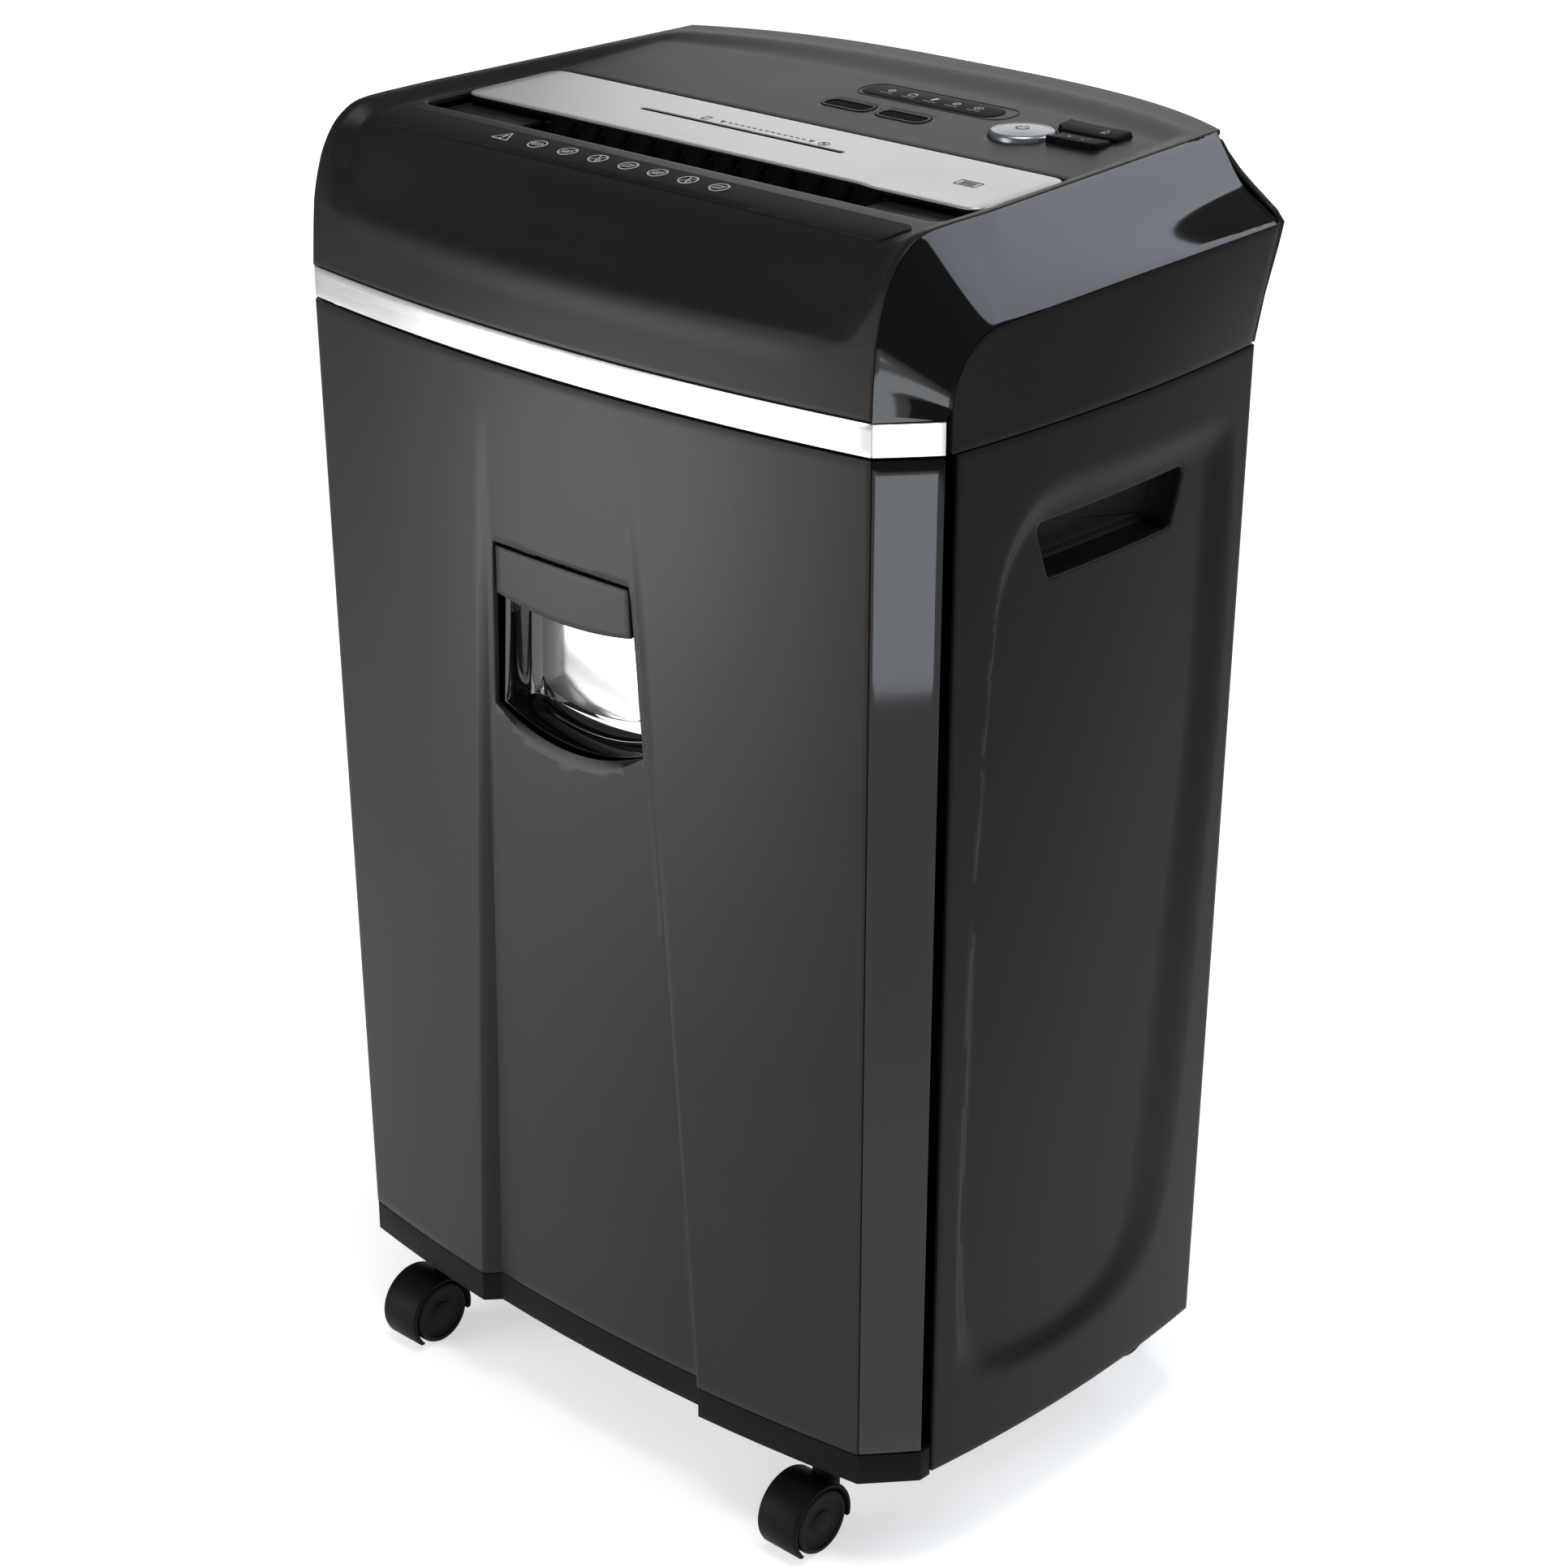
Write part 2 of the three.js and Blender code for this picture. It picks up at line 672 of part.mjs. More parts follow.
const trimHollow = 5;
function glossTrim() {
  const rows = steps(0, sectionCount - 1, sectionCount - 1);
  const place = (u, i, depthIn) => {
    const [edgeY, edgeZ] = sectionPoint(i, 0);
    const y = Math.min(edgeY, coverRearY);
    const inner = new THREE.Vector3(deckHalf(edgeY) + gap / 2, y, edgeZ - gap);
    const outer = new THREE.Vector3(...trimOuter(i));
    const point = inner.lerp(outer, u);
    const [ny, nz] = sectionNormal(i);
    const normal = new THREE.Vector3(0, ny, nz).lerp(new THREE.Vector3(1, 0, 0), u).normalize();
    const rear = THREE.MathUtils.smoothstep(edgeY, frontY + 20, rearY);
    const hollow = trimHollow * rear * 4 * u * (1 - u);
    return point.addScaledVector(normal, -depthIn - hollow).toArray();
  };
  return sheet(steps(0, 1, 4), rows,
    (u, i) => place(u, i, 0), (u, i) => place(u, i, wall));
}

// Half width of the head at its rear, by height above the seam
const rearSection = [
  [gap, rearHalf], [25, 204.7], [50, 211], [coverEdgeZ + flareRise, flareHalf], [66, 209],
  [76, 194.3], [81.5, 186.9], [88.5, 179.4], [deckRise - 0.6, 175.5],
];
function rearCover() {
  const rows = steps(0, rearSection.length - 1, rearSection.length - 1);
  const place = (u, i, inwards) => {
    const [height, half] = rearSection[i];
    return [u * half, rearLine(u * half, half) - inwards, seamZ + height];
  };
  return sheet(steps(-1, 1, 12), rows,
    (u, i) => place(u, i, 0), (u, i) => place(u, i, wall))
    .subtract(rod('y', inletRadius + gap, rearY, depth / 2 + 5, [inletX, inletZ], 16))
    .subtract(block([switchX - switchHalf.x - gap, rearY, switchZ - switchHalf.z - gap],
      [switchX + switchHalf.x + gap, depth / 2 + 5, switchZ + switchHalf.z + gap]));
}

function silverBand() {
  return sheet(steps(-1, 1, 16), [seamZ + gap, headZ - gap],
    (u, z) => [u * (frontHalf - gap / 2), frontLine(u * frontHalf), z],
    (u, z) => [u * (frontHalf - gap / 2), frontLine(u * frontHalf) + wall, z]);
}

// The bin's safety switch is clipped into a housing moulded on the head floor
const safetySwitch = { x: 153, y: -115, halfX: 13, halfY: 7, rise: 16 };
function headFloor() {
  const inset = wall + gap;
  const points = steps(-frontHalf + 4, frontHalf - 4, 8).map((x) => [x, frontLine(x) + inset]);
  const right = steps(sideFrontY, coverRearY - inset, 6).map((y) => [sideLine(y) - inset, y]);
  points.push(...right);
  points.push(...steps(rearHalf - 12, 12 - rearHalf, 8)
    .map((x) => [x, rearLine(x, rearHalf) - inset - 1]));
  points.push(...right.map(([x, y]) => [-x, y]).reverse());
  const outline = new THREE.Shape(points.map(([x, y]) => new THREE.Vector2(x, y)));
  const drop = block([-plateX + 4, frontShaftY - discRadius, floorZ - 1],
    [plateX - 4, rearShaftY + discRadius, floorZ + floorThickness + 1]);
  const house = block([safetySwitch.x - safetySwitch.halfX, safetySwitch.y - safetySwitch.halfY, floorZ + 1],
    [safetySwitch.x + safetySwitch.halfX, safetySwitch.y + safetySwitch.halfY,
      floorZ + floorThickness + safetySwitch.rise]);
  return raise(outline, floorZ, floorZ + floorThickness).subtract(drop).add(house);
}

// ---- Paper entry -------------------------------------------------------

const ledgeZ = deckAt(0, entryFrontY) - ledgeDrop;
const plateZ = ledgeZ + gap;
const cardSlot = { fromX: -77, toX: 57, y: -15 };

function entryOutline(fromY, toY, half, radius) {
  return rounded([[-half, fromY], [half, fromY], [half, toY], [-half, toY]], radius);
}
function cardCut() {
  return block([cardSlot.fromX, cardSlot.y - cardSlotWidth / 2, ledgeZ - 30],
    [cardSlot.toX, cardSlot.y + cardSlotWidth / 2, ledgeZ + 20]);
}

const throatBottomZ = seamZ + shaftZ + discRadius + 2;
function throatLiner() {
  const under = ledgeZ - ledgeThickness;
  const chute = (grow, low, high) => sheet([-1, 1], [-1, 1],
    (u, v) => [u * (throatHalf + grow), throatY + v * (throatWidth / 2 + grow), high],
    (u, v) => [u * (throatHalf + grow), throatY + v * (throatWidth / 4 + grow), low]);
  return raise(entryOutline(entryFrontY + gap, entryRearY - gap, entryHalf - gap, 9), under, ledgeZ)
    .add(chute(2.5, throatBottomZ, ledgeZ - 1))
    .subtract(chute(0, throatBottomZ - 0.5, ledgeZ + 1))
    .subtract(cardCut());
}

function throatPlate() {
  return raise(entryOutline(plateFrontY, entryRearY - 3 * gap, entryHalf - 3 * gap, 9),
    plateZ, plateZ + plateThickness)
    .subtract(cardCut());
}

const stripRows = { from: -108, to: -86 };
function iconStrip() {
  const lift = (u, y) => deckAt(u * half, y) + 0.6;
  const thickness = 0.9;
  const half = 168;
  const columns = steps(-1, 1, 10);
  return sheet(columns, steps(stripRows.from, stripRows.to, 4),
    (u, y) => [u * half, y, lift(u, y) + thickness],
    (u, y) => [u * half, y, lift(u, y)]);
}

// ---- Controls ----------------------------------------------------------

function indicatorBar() {
  const z = deckAt(indicator.x, indicator.y + indicator.halfY) + 0.4;
  return raise(oblong(indicator.halfX, indicator.halfY, indicator.halfY), z, z + 0.9)
    .translate([indicator.x, indicator.y, 0]);
}

function ventGrille() {
  const z = deckAt(0, ventY) - 1.6;
  let body = raise(oblong(ventHalf.x, ventHalf.y, ventHalf.y - gap), z, z + 1.4, 3);
  for (const x of steps(-9, 9, 6)) {
    body = body.subtract(block([x - 0.8, -ventHalf.y + 2, z - 1], [x + 0.8, ventHalf.y - 2, z + 3]));
  }
  return body;
}

const boardZ = seamZ + 74;
const boardThickness = 1.6;
const switchTop = boardZ + boardThickness + 5;
function powerButton() {
  const top = deckAt(powerX, powerY) + buttonRise;
  const low = switchTop + buttonTravel + gap;
  const profile = [
    [0, low], [4, low], [4, top - 9], [powerRadius, top - 9],
    [powerRadius, top - 2], [powerRadius - 2, top - 0.9], [9, top - 0.2], [0, top],
  ].map(([radius, z]) => new THREE.Vector2(radius, z));
  return turned(new THREE.LatheGeometry(profile, 28), 'z', 0, [powerX, powerY]);
}

function key(y, back) {
  const top = deckAt(keyX, y) + 2;
  const low = switchTop + buttonTravel + gap;
  const cap = sheet([-1, 1], [-1, 1],
    (u, v) => [keyX + u * keyHalf.x, y + v * keyHalf.y, top + (v === back ? 1.2 : 0)],
    (u, v) => [keyX + u * keyHalf.x, y + v * keyHalf.y, top - 6]);
  return cap.intersect(raise(keyOutline(y, 0), top - 10, top + 5, 2))
    .subtract(keyArc(powerHole + 1.5 + gap))
    .add(rod('z', 2.5, low, top - 5, [keyX + 4, y], 12));
}

function controlBoard() {
  let body = block([-24, 46, boardZ], [160, 94, boardZ + boardThickness]);
  for (const [x, y] of [[powerX, powerY], [keyX + 4, reverseY], [keyX + 4, forwardY]]) {
    body = body.add(block([x - 3, y - 3, boardZ + 1], [x + 3, y + 3, switchTop]));
  }
  for (const x of steps(-4, 56, 4)) {
    body = body.add(rod('z', 2.5, boardZ + 1, boardZ + 8, [x, indicator.y], 8));
  }
  for (const [x, y] of [[-20, 50], [-20, 90], [156, 50], [156, 90]]) {
    const under = Math.min(deckAt(x, y - 4), deckAt(x, y + 4), deckAt(x + Math.sign(x) * 4, y));
    body = body.add(rod('z', 3, boardZ + 1, under - 1.1 * wall - gap, [x, y], 8));
  }
  return body;
}

const inletX = -60;
const inletZ = seamZ + 30;
const inletRadius = 8;
function cordInlet() {
  const faceY = rearLine(inletX, flareHalf);
  return rod('y', inletRadius, faceY - 12, faceY + 0.6, [inletX, inletZ], 16)
    .subtract(rod('y', 4, faceY - 13, faceY + 2, [inletX, inletZ], 16));
}

const switchX = 60;
const switchZ = seamZ + 30;
const switchHalf = { x: 8, z: 13 };
const rockerTilt = 8;
const rockerY = rearLine(switchX, flareHalf) - 7;
function rocker() {
  const outline = new THREE.Shape();
  outline.moveTo(-5, -switchHalf.z + 2.5);
  outline.lineTo(5.5, -switchHalf.z + 2.5);
  outline.lineTo(4, 0);
  outline.lineTo(5.5, switchHalf.z - 2.5);
  outline.lineTo(-5, switchHalf.z - 2.5);
  return raiseAlongX(outline, -switchHalf.x + 0.5, switchHalf.x - 0.5);
}

// ---- Cutter block and drive -------------------------------------------

const shaftHeight = seamZ + shaftZ;
const firstDisc = -(discCount - 0.5) * discPitch / 2;
const gearX = -plateX - plateWall - 2;

function cutterShaft(y, offset, endX) {
  const profile = [[0, endX], [journalRadius, endX], [journalRadius, -plateX + 5]];
  for (let i = 0; i < discCount; i++) {
    const x = firstDisc + offset + i * discPitch;
    const edges = [[coreRadius, x - discWidth / 2], [discRadius, x - discWidth / 2],
      [discRadius, x + discWidth / 2], [coreRadius, x + discWidth / 2]];
    if (i === 0) profile.push([coreRadius, -plateX + 5]);
    profile.push(...edges);
  }
  profile.push([coreRadius, plateX - 5], [journalRadius, plateX - 5]);
  profile.push([journalRadius, plateX + plateWall + 3], [0, plateX + plateWall + 3]);
  const points = profile.map(([radius, x]) => new THREE.Vector2(radius, x));
  return turned(new THREE.LatheGeometry(points, 12), 'x', 0, [y, shaftHeight]);
}

// Fingers that reach between the discs and strip the shreds off the core
function comb(y, ahead, offset) {
  const fingerTip = y + ahead * (coreRadius + 0.8);
  const barNear = y + ahead * (discRadius + 2);
  const barFar = y + ahead * (discRadius + 6);
  const span = (from, to, x0, x1, z0, z1) => block(
    [x0, Math.min(from, to), z0], [x1, Math.max(from, to), z1]);
  const reach = plateX - gap;
  let body = span(barNear, barFar, -reach, reach, shaftHeight - 9, shaftHeight + 9);
  const half = (discPitch - discWidth) / 2 - 1;
  for (let i = 0; i <= discCount; i++) {
    const x = firstDisc + offset + (i - 0.5) * discPitch;
    if (Math.abs(x) + half < plateX - 6) {
      body = body.add(span(fingerTip, barFar - ahead, x - half, x + half,
        shaftHeight - 4, shaftHeight + 4));
    }
  }
  return body;
}

// Spur gear teeth: straight flanks with running clearance
function gear(teeth, modulus, from, to, centre, phase = 0) {
  const pitch = 2 * Math.PI / teeth;
  const radius = teeth * modulus / 2;
  const points = [];
  for (let i = 0; i < teeth; i++) {
    const middle = phase + i * pitch;
    for (const [share, out] of [[-0.28, -1.1], [-0.1, 0.85], [0.1, 0.85], [0.28, -1.1]]) {
      const angle = middle + share * pitch;
      const reach = radius + out * modulus;
      points.push(new THREE.Vector2(
        centre[0] + reach * Math.cos(angle), centre[1] + reach * Math.sin(angle)));
    }
  }
  return raiseAlongX(new THREE.Shape(points), from, to);
}

const pair = { teeth: 12, modulus: shaftSpacing / 12 };
const drive = { teeth: 27, pinion: 10, modulus: 2.5 };
const input = { teeth: 28, pinion: 8, modulus: 2 };
const frontAxis = [frontShaftY, shaftHeight];
const rearAxis = [rearShaftY, shaftHeight];

// The gear centres step back from the rear cutter: first up a little, then down to the motor
const beyond = (from, distance, degrees) => {
  const angle = THREE.MathUtils.degToRad(degrees);
  return [from[0] + distance * Math.cos(angle), from[1] + distance * Math.sin(angle)];
};
const idlerCentre = beyond(rearAxis, (drive.teeth + drive.pinion) * drive.modulus / 2, 4);
const motorAxis = beyond(idlerCentre, (input.teeth + input.pinion) * input.modulus / 2, -8);
const bearing = (from, to) => Math.atan2(to[1] - from[1], to[0] - from[0]);
const meshed = (from, to, teeth) => bearing(to, from) + Math.PI / teeth;

const layers = { pair: [gearX - 10, gearX], drive: [gearX - 22, gearX - 12],
  input: [gearX - 33, gearX - 24] };
const shaftBore = (axis, radius) => rod('x', radius + gap, gearX - 50, gearX + 10, axis, 20);

function frontGear() {
  return gear(pair.teeth, pair.modulus, ...layers.pair, frontAxis, bearing(frontAxis, rearAxis))
    .subtract(shaftBore(frontAxis, journalRadius));
}
function rearGear() {
  const drivePhase = bearing(rearAxis, idlerCentre);
  return gear(pair.teeth, pair.modulus, ...layers.pair, rearAxis,
    meshed(frontAxis, rearAxis, pair.teeth))
    .add(rod('x', 13, layers.drive[1] - 1, layers.pair[0] + 1, rearAxis, 16))
    .add(gear(drive.teeth, drive.modulus, ...layers.drive, rearAxis, drivePhase))
    .subtract(shaftBore(rearAxis, journalRadius));
}
function idlerGear() {
  const inputPhase = bearing(idlerCentre, motorAxis);
  return gear(drive.pinion, drive.modulus, ...layers.drive, idlerCentre,
    meshed(rearAxis, idlerCentre, drive.pinion))
    .add(gear(input.teeth, input.modulus, ...layers.input, idlerCentre, inputPhase))
    .add(rod('x', 9, layers.input[1] - 1, layers.drive[0] + 1, idlerCentre, 12))
    .add(rod('x', 4, guardX + 0.4, gearX + 0.5, idlerCentre, 12));
}
function motorPinion() {
  return gear(input.pinion, input.modulus, layers.input[0], layers.input[1], motorAxis,
    meshed(idlerCentre, motorAxis, input.pinion))
    .add(rod('x', 4, layers.input[1] - 1, motorLeft - gap, motorAxis, 12));
}

const guardX = gearX - 38;
function gearGuard() {
  const outline = rounded([[-98, floorZ + 6], [60, floorZ + 6], [60, seamZ + 78], [-98, seamZ + 78]], 8);
  let body = raiseAlongX(outline, guardX - 2, guardX);
  for (const centre of [[-92, floorZ + 14], [-92, seamZ + 71], [52, floorZ + 13]]) {
    body = body.add(rod('x', 3, guardX - 1, -plateX - plateWall - gap, centre, 10));
  }
  return body;
}

function cutterPlate(sign, rearEdge) {
  const low = floorZ + floorThickness + gap;
  const outline = rounded([[frontShaftY - 31, low], [rearEdge, low],
    [rearEdge, seamZ + 73], [frontShaftY - 31, seamZ + 73]], 6);
  const from = sign > 0 ? plateX : -plateX - plateWall;
  let body = raiseAlongX(outline, from, from + plateWall);
  for (const axis of [frontAxis, rearAxis]) {
    body = body.subtract(rod('x', journalRadius + gap, from - 1, from + plateWall + 1, axis, 20));
  }
  if (sign < 0) {
    body = body.subtract(rod('x', 6, from - 1, from + plateWall + 1, motorAxis, 16));
  }
  return body;
}

const motorLeft = -plateX + 24;
const motorRight = 72;
function motor() {
  const [middleY, middleZ] = motorAxis;
  const foot = block([motorLeft + 15, middleY - 22, floorZ + floorThickness + gap],
    [motorRight - 15, middleY + 22, middleZ - 10]);
  return rod('x', motorRadius, motorLeft, motorRight, motorAxis)
    .add(rod('x', motorRadius - 9, motorRight - 1, motorRight + 10, motorAxis))
    .add(foot);
}

const tieRod = (centre) => rod('x', 4, -plateX + gap, plateX - gap, centre, 12);

// ---- Casters -----------------------------------------------------------

const wheelFrom = 2.2;
function casterHood(place) {
  const centre = [place.y + place.ahead * casterTrail, wheelZ];
  const half = wheelFrom + wheelWidth;
  const arc = (radius) => {
    const outline = new THREE.Shape();
    const low = THREE.MathUtils.degToRad(-12);
    const high = THREE.MathUtils.degToRad(222);
    for (const angle of steps(low, high, 13)) {
      const y = centre[0] - place.ahead * radius * Math.cos(angle);
      const z = centre[1] + radius * Math.sin(angle);
      if (angle === low) outline.moveTo(y, z);
      else outline.lineTo(y, z);
    }
    return outline;
  };
  const neckTop = baseZ - 1.5;
  const inner = hoodRadius - hoodWall;
  let body = raiseAlongX(arc(hoodRadius), -half, half)
    .add(rod('z', stemRadius + 2, wheelZ + 4, neckTop, [0, place.y], 16));
  for (const side of [-1, 1]) {
    const far = side * (half + 2);
    const near = side * (wheelFrom - 0.4);
    body = body.subtract(rod('x', inner, Math.min(near, far), Math.max(near, far), centre, 20));
    body = body.add(rod('x', 3, Math.min(0, side * (half - 3)), Math.max(0, side * (half - 3)),
      centre, 12));
  }
  return body.add(rod('z', stemRadius, neckTop - 1, stripTopZ - 3, [0, place.y], 16))
    .translate([place.x, 0, 0]);
}

function casterWheel(place, side) {
  const centre = [place.y + place.ahead * casterTrail, wheelZ];
  const far = wheelFrom + wheelWidth;
  const profile = [
    [0, far], [wheelRadius - 1.5, far], [wheelRadius, far - 1.5], [wheelRadius, wheelFrom],
    [3.5, wheelFrom], [3.5, far - 2.4], [0, far - 2.4],
  ].map(([radius, x]) => new THREE.Vector2(radius, side * x));
  const geometry = new THREE.LatheGeometry(profile, wheelSides);
  geometry.rotateY(Math.PI / wheelSides);
  return turned(geometry, 'x', 0, centre).translate([place.x, 0, 0]);
}

// ---- Assembly ----------------------------------------------------------

const shredder = new THREE.Group();
function add(name, body, material, parent = shredder) {
  const mesh = new THREE.Mesh(shape(body), material);
  mesh.name = name;
  parent.add(mesh);
  return mesh;
}
function addPair(name, body, material) {
  add(`${name}_left`, mirrored(body), material);
  add(`${name}_right`, body, material);
}

addPair('side_panel', sidePanel(), charcoal);
add('back_panel', backPanel(), charcoal);
add('base_tray', baseTray(), black);
addPair('bin_rail', binRail(), steel);

add('bin_front_panel', binFront(), charcoal);
addPair('bin_corner', cornerStrip(binBottomZ, binTop), gloss);
add('bin_tub', binTub(), black);
add('bin_window', binWindow(), smoke);
add('bin_grip', binGrip(), charcoal);

add('head_top_cover', topCover(), charcoal);
add('head_rear_cover', rearCover(), charcoal);
addPair('head_side_cover', sideCover(), charcoal);
addPair('gloss_trim', glossTrim(), gloss);
add('silver_band_front', silverBand(), silver);
addPair('silver_band_corner', cornerStrip(seamZ + gap, headZ - gap), silver);
add('head_floor', headFloor(), black);
add('throat_liner', throatLiner(), charcoal);
add('throat_plate', throatPlate(), satin);
add('icon_strip', iconStrip(), black);
add('indicator_bar', indicatorBar(), black);
for (const [i, x] of ventPlaces.entries()) {
  add(`vent_grille_${i + 1}`, ventGrille().translate([x, ventY, 0]), black);
}

add('power_button', powerButton(), silver);
add('reverse_button', key(reverseY, 1), black);
add('forward_button', key(forwardY, -1), black);
add('control_board', controlBoard(), board);
add('cord_inlet', cordInlet(), black);
const rockerMesh = add('main_switch_rocker', rocker(), black);
rockerMesh.position.set(switchX, rockerY, switchZ);
rockerMesh.rotation.x = THREE.MathUtils.degToRad(-rockerTilt);

add('cutter_shaft_front', cutterShaft(frontShaftY, 0, gearX - 12), steel);
add('cutter_shaft_rear', cutterShaft(rearShaftY, discPitch / 2, gearX - 24), steel);
add('cutter_comb_front', comb(frontShaftY, -1, 0), steel);
add('cutter_comb_rear', comb(rearShaftY, 1, discPitch / 2), steel);
add('cutter_plate_left', cutterPlate(-1, motorAxis[0] + 17), steel);
add('cutter_plate_right', cutterPlate(1, rearShaftY + 33), steel);
add('tie_rod_front', tieRod([frontShaftY - 25, seamZ + 63]), steel);
add('tie_rod_rear', tieRod([rearShaftY + 25, seamZ + 15]), steel);
add('cutter_gear_front', frontGear(), steel);
add('cutter_gear_rear', rearGear(), steel);
add('idler_gear', idlerGear(), steel);
add('motor_pinion', motorPinion(), steel);
add('gear_guard', gearGuard(), steel);
add('motor', motor(), steel);

for (const place of casterPlaces) {
  add(`caster_hood_${place.name}`, casterHood(place), black);
  add(`caster_wheel_${place.name}_outer`, casterWheel(place, Math.sign(place.x)), black);
  add(`caster_wheel_${place.name}_inner`, casterWheel(place, -Math.sign(place.x)), black);
}

export default shredder;
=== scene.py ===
import math

import bpy
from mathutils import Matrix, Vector


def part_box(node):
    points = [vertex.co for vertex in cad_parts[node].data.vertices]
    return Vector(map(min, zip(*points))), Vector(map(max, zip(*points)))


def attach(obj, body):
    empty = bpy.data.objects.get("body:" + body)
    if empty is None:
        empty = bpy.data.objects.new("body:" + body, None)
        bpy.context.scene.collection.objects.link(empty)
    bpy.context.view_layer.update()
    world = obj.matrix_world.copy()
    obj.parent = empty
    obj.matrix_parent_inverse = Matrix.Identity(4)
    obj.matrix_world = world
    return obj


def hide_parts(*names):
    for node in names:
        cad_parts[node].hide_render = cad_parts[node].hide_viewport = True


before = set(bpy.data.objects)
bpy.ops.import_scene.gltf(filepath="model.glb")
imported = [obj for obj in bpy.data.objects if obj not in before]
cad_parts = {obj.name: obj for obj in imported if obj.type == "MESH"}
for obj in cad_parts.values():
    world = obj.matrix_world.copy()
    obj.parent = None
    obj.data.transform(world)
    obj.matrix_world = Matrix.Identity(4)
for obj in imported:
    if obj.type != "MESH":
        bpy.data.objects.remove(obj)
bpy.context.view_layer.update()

mm = 0.001


# Numbers used all over

def mix(a, b, share):
    return a + (b - a) * share


def clamp(value, low=0.0, high=1.0):
    return max(low, min(high, value))


def smooth(value, low, high):
    share = clamp((value - low) / (high - low))
    return share * share * (3 - 2 * share)


def steps(low, high, count):
    return [low + (high - low) * i / count for i in range(count + 1)]


def through(points, t):
    # the point at t on a smooth line that passes through every station
    last = len(points) - 1
    i = min(int(t), last - 1)
    f = t - i
    found = []
    for k in range(len(points[0])):
        b, c = points[i][k], points[i + 1][k]
        a = points[i - 1][k] if i > 0 else 2 * b - c
        d = points[i + 2][k] if i + 2 <= last else 2 * c - b
        found.append(0.5 * (2 * b + (c - a) * f + (2 * a - 5 * b + 4 * c - d) * f * f
                            + (3 * b - a - 3 * c + d) * f ** 3))
    return found


# Bench tools: how pieces are made

def letGo():
    if bpy.context.object and bpy.context.object.mode != "OBJECT":
        bpy.ops.object.mode_set(mode="OBJECT")
    bpy.ops.object.select_all(action="DESELECT")


def hold(piece):
    letGo()
    piece.select_set(True)
    bpy.context.view_layer.objects.active = piece


def applied(piece, kind, **settings):
    hold(piece)
    modifier = piece.modifiers.new(kind.title(), kind)
    for name, value in settings.items():
        setattr(modifier, name, value)
    bpy.ops.object.modifier_apply(modifier=modifier.name)
    return piece


def editAll(piece, *tools):
    # runs edit-mode tools on the whole mesh
    hold(piece)
    bpy.ops.object.mode_set(mode="EDIT")
    bpy.ops.mesh.select_all(action="SELECT")
    for tool in tools:
        tool()
    bpy.ops.object.mode_set(mode="OBJECT")
    return piece


def facingOut(piece):
    return editAll(piece, lambda: bpy.ops.mesh.remove_doubles(threshold=1e-6),
                   lambda: bpy.ops.mesh.normals_make_consistent(inside=False))


def smoothed(piece, degrees=35):
    hold(piece)
    bpy.ops.object.shade_smooth_by_angle(angle=math.radians(degrees))
    return piece


def bevelled(piece, width, segments=2, degrees=40):
    applied(piece, "BEVEL", width=width * mm, segments=segments, limit_method="ANGLE",
            angle_limit=math.radians(degrees), miter_outer="MITER_ARC")
    return smoothed(piece)


def joined(name, *pieces):
    letGo()
    for piece in pieces:
        piece.select_set(True)
    bpy.context.view_layer.objects.active = pieces[0]
    bpy.ops.object.join()
    pieces[0].name = name
    return pieces[0]


def bentGrid(name, columns, rows, surface, outward):
    # a grid whose points are carried onto a surface, facing outward
    letGo()
    across, up = len(columns) - 1, len(rows) - 1
    bpy.ops.mesh.primitive_grid_add(x_subdivisions=across, y_subdivisions=up, size=2)
    piece = bpy.context.object
    piece.name = name
    for vertex in piece.data.vertices:
        u = columns[round((vertex.co.x + 1) / 2 * across)]
        v = rows[round((vertex.co.y + 1) / 2 * up)]
        vertex.co = Vector(surface(u, v)) * mm
    piece.data.update()
    facing = sum((face.normal * face.area for face in piece.data.polygons), Vector())
    if facing.dot(Vector(outward)) < 0:
        editAll(piece, bpy.ops.mesh.flip_normals)
    return piece


def walled(piece, thickness, lip=0.5):
    # gives a bent grid its wall and softens the rim
    applied(piece, "SOLIDIFY", thickness=thickness * mm, offset=-1, use_even_offset=True)
    return bevelled(piece, lip, 2, 50)


def lofted(name, rings):
    # a grid bent round through rings of points and closed along its seam
    letGo()
    around, up = len(rings[0]), len(rings) - 1
    bpy.ops.mesh.primitive_grid_add(x_subdivisions=around, y_subdivisions=up, size=2)
    piece = bpy.context.object
    piece.name = name
    for vertex in piece.data.vertices:
        i = round((vertex.co.x + 1) / 2 * around) % around
        level = round((vertex.co.y + 1) / 2 * up)
        vertex.co = Vector(rings[level][i]) * mm
    return facingOut(piece)


def stacked(name, rings):
    # a closed body through rings of points, capped at both ends
    count = len(rings[0])
    points = [Vector(point) * mm for ring in rings for point in ring]
    faces = [list(range(count)), list(range(len(points) - count, len(points)))]
    for level in range(len(rings) - 1):
        low = level * count
        for i in range(count):
            j = (i + 1) % count
            faces.append([low + i, low + j, low + count + j, low + count + i])
    mesh = bpy.data.meshes.new(name)
    mesh.from_pydata(points, [], faces)
    piece = bpy.data.objects.new(name, mesh)
    bpy.context.scene.collection.objects.link(piece)
    return facingOut(piece)


def carved(piece, cutter):
    applied(piece, "BOOLEAN", object=cutter, operation="DIFFERENCE", solver="EXACT")
    bpy.data.objects.remove(cutter)
    return piece


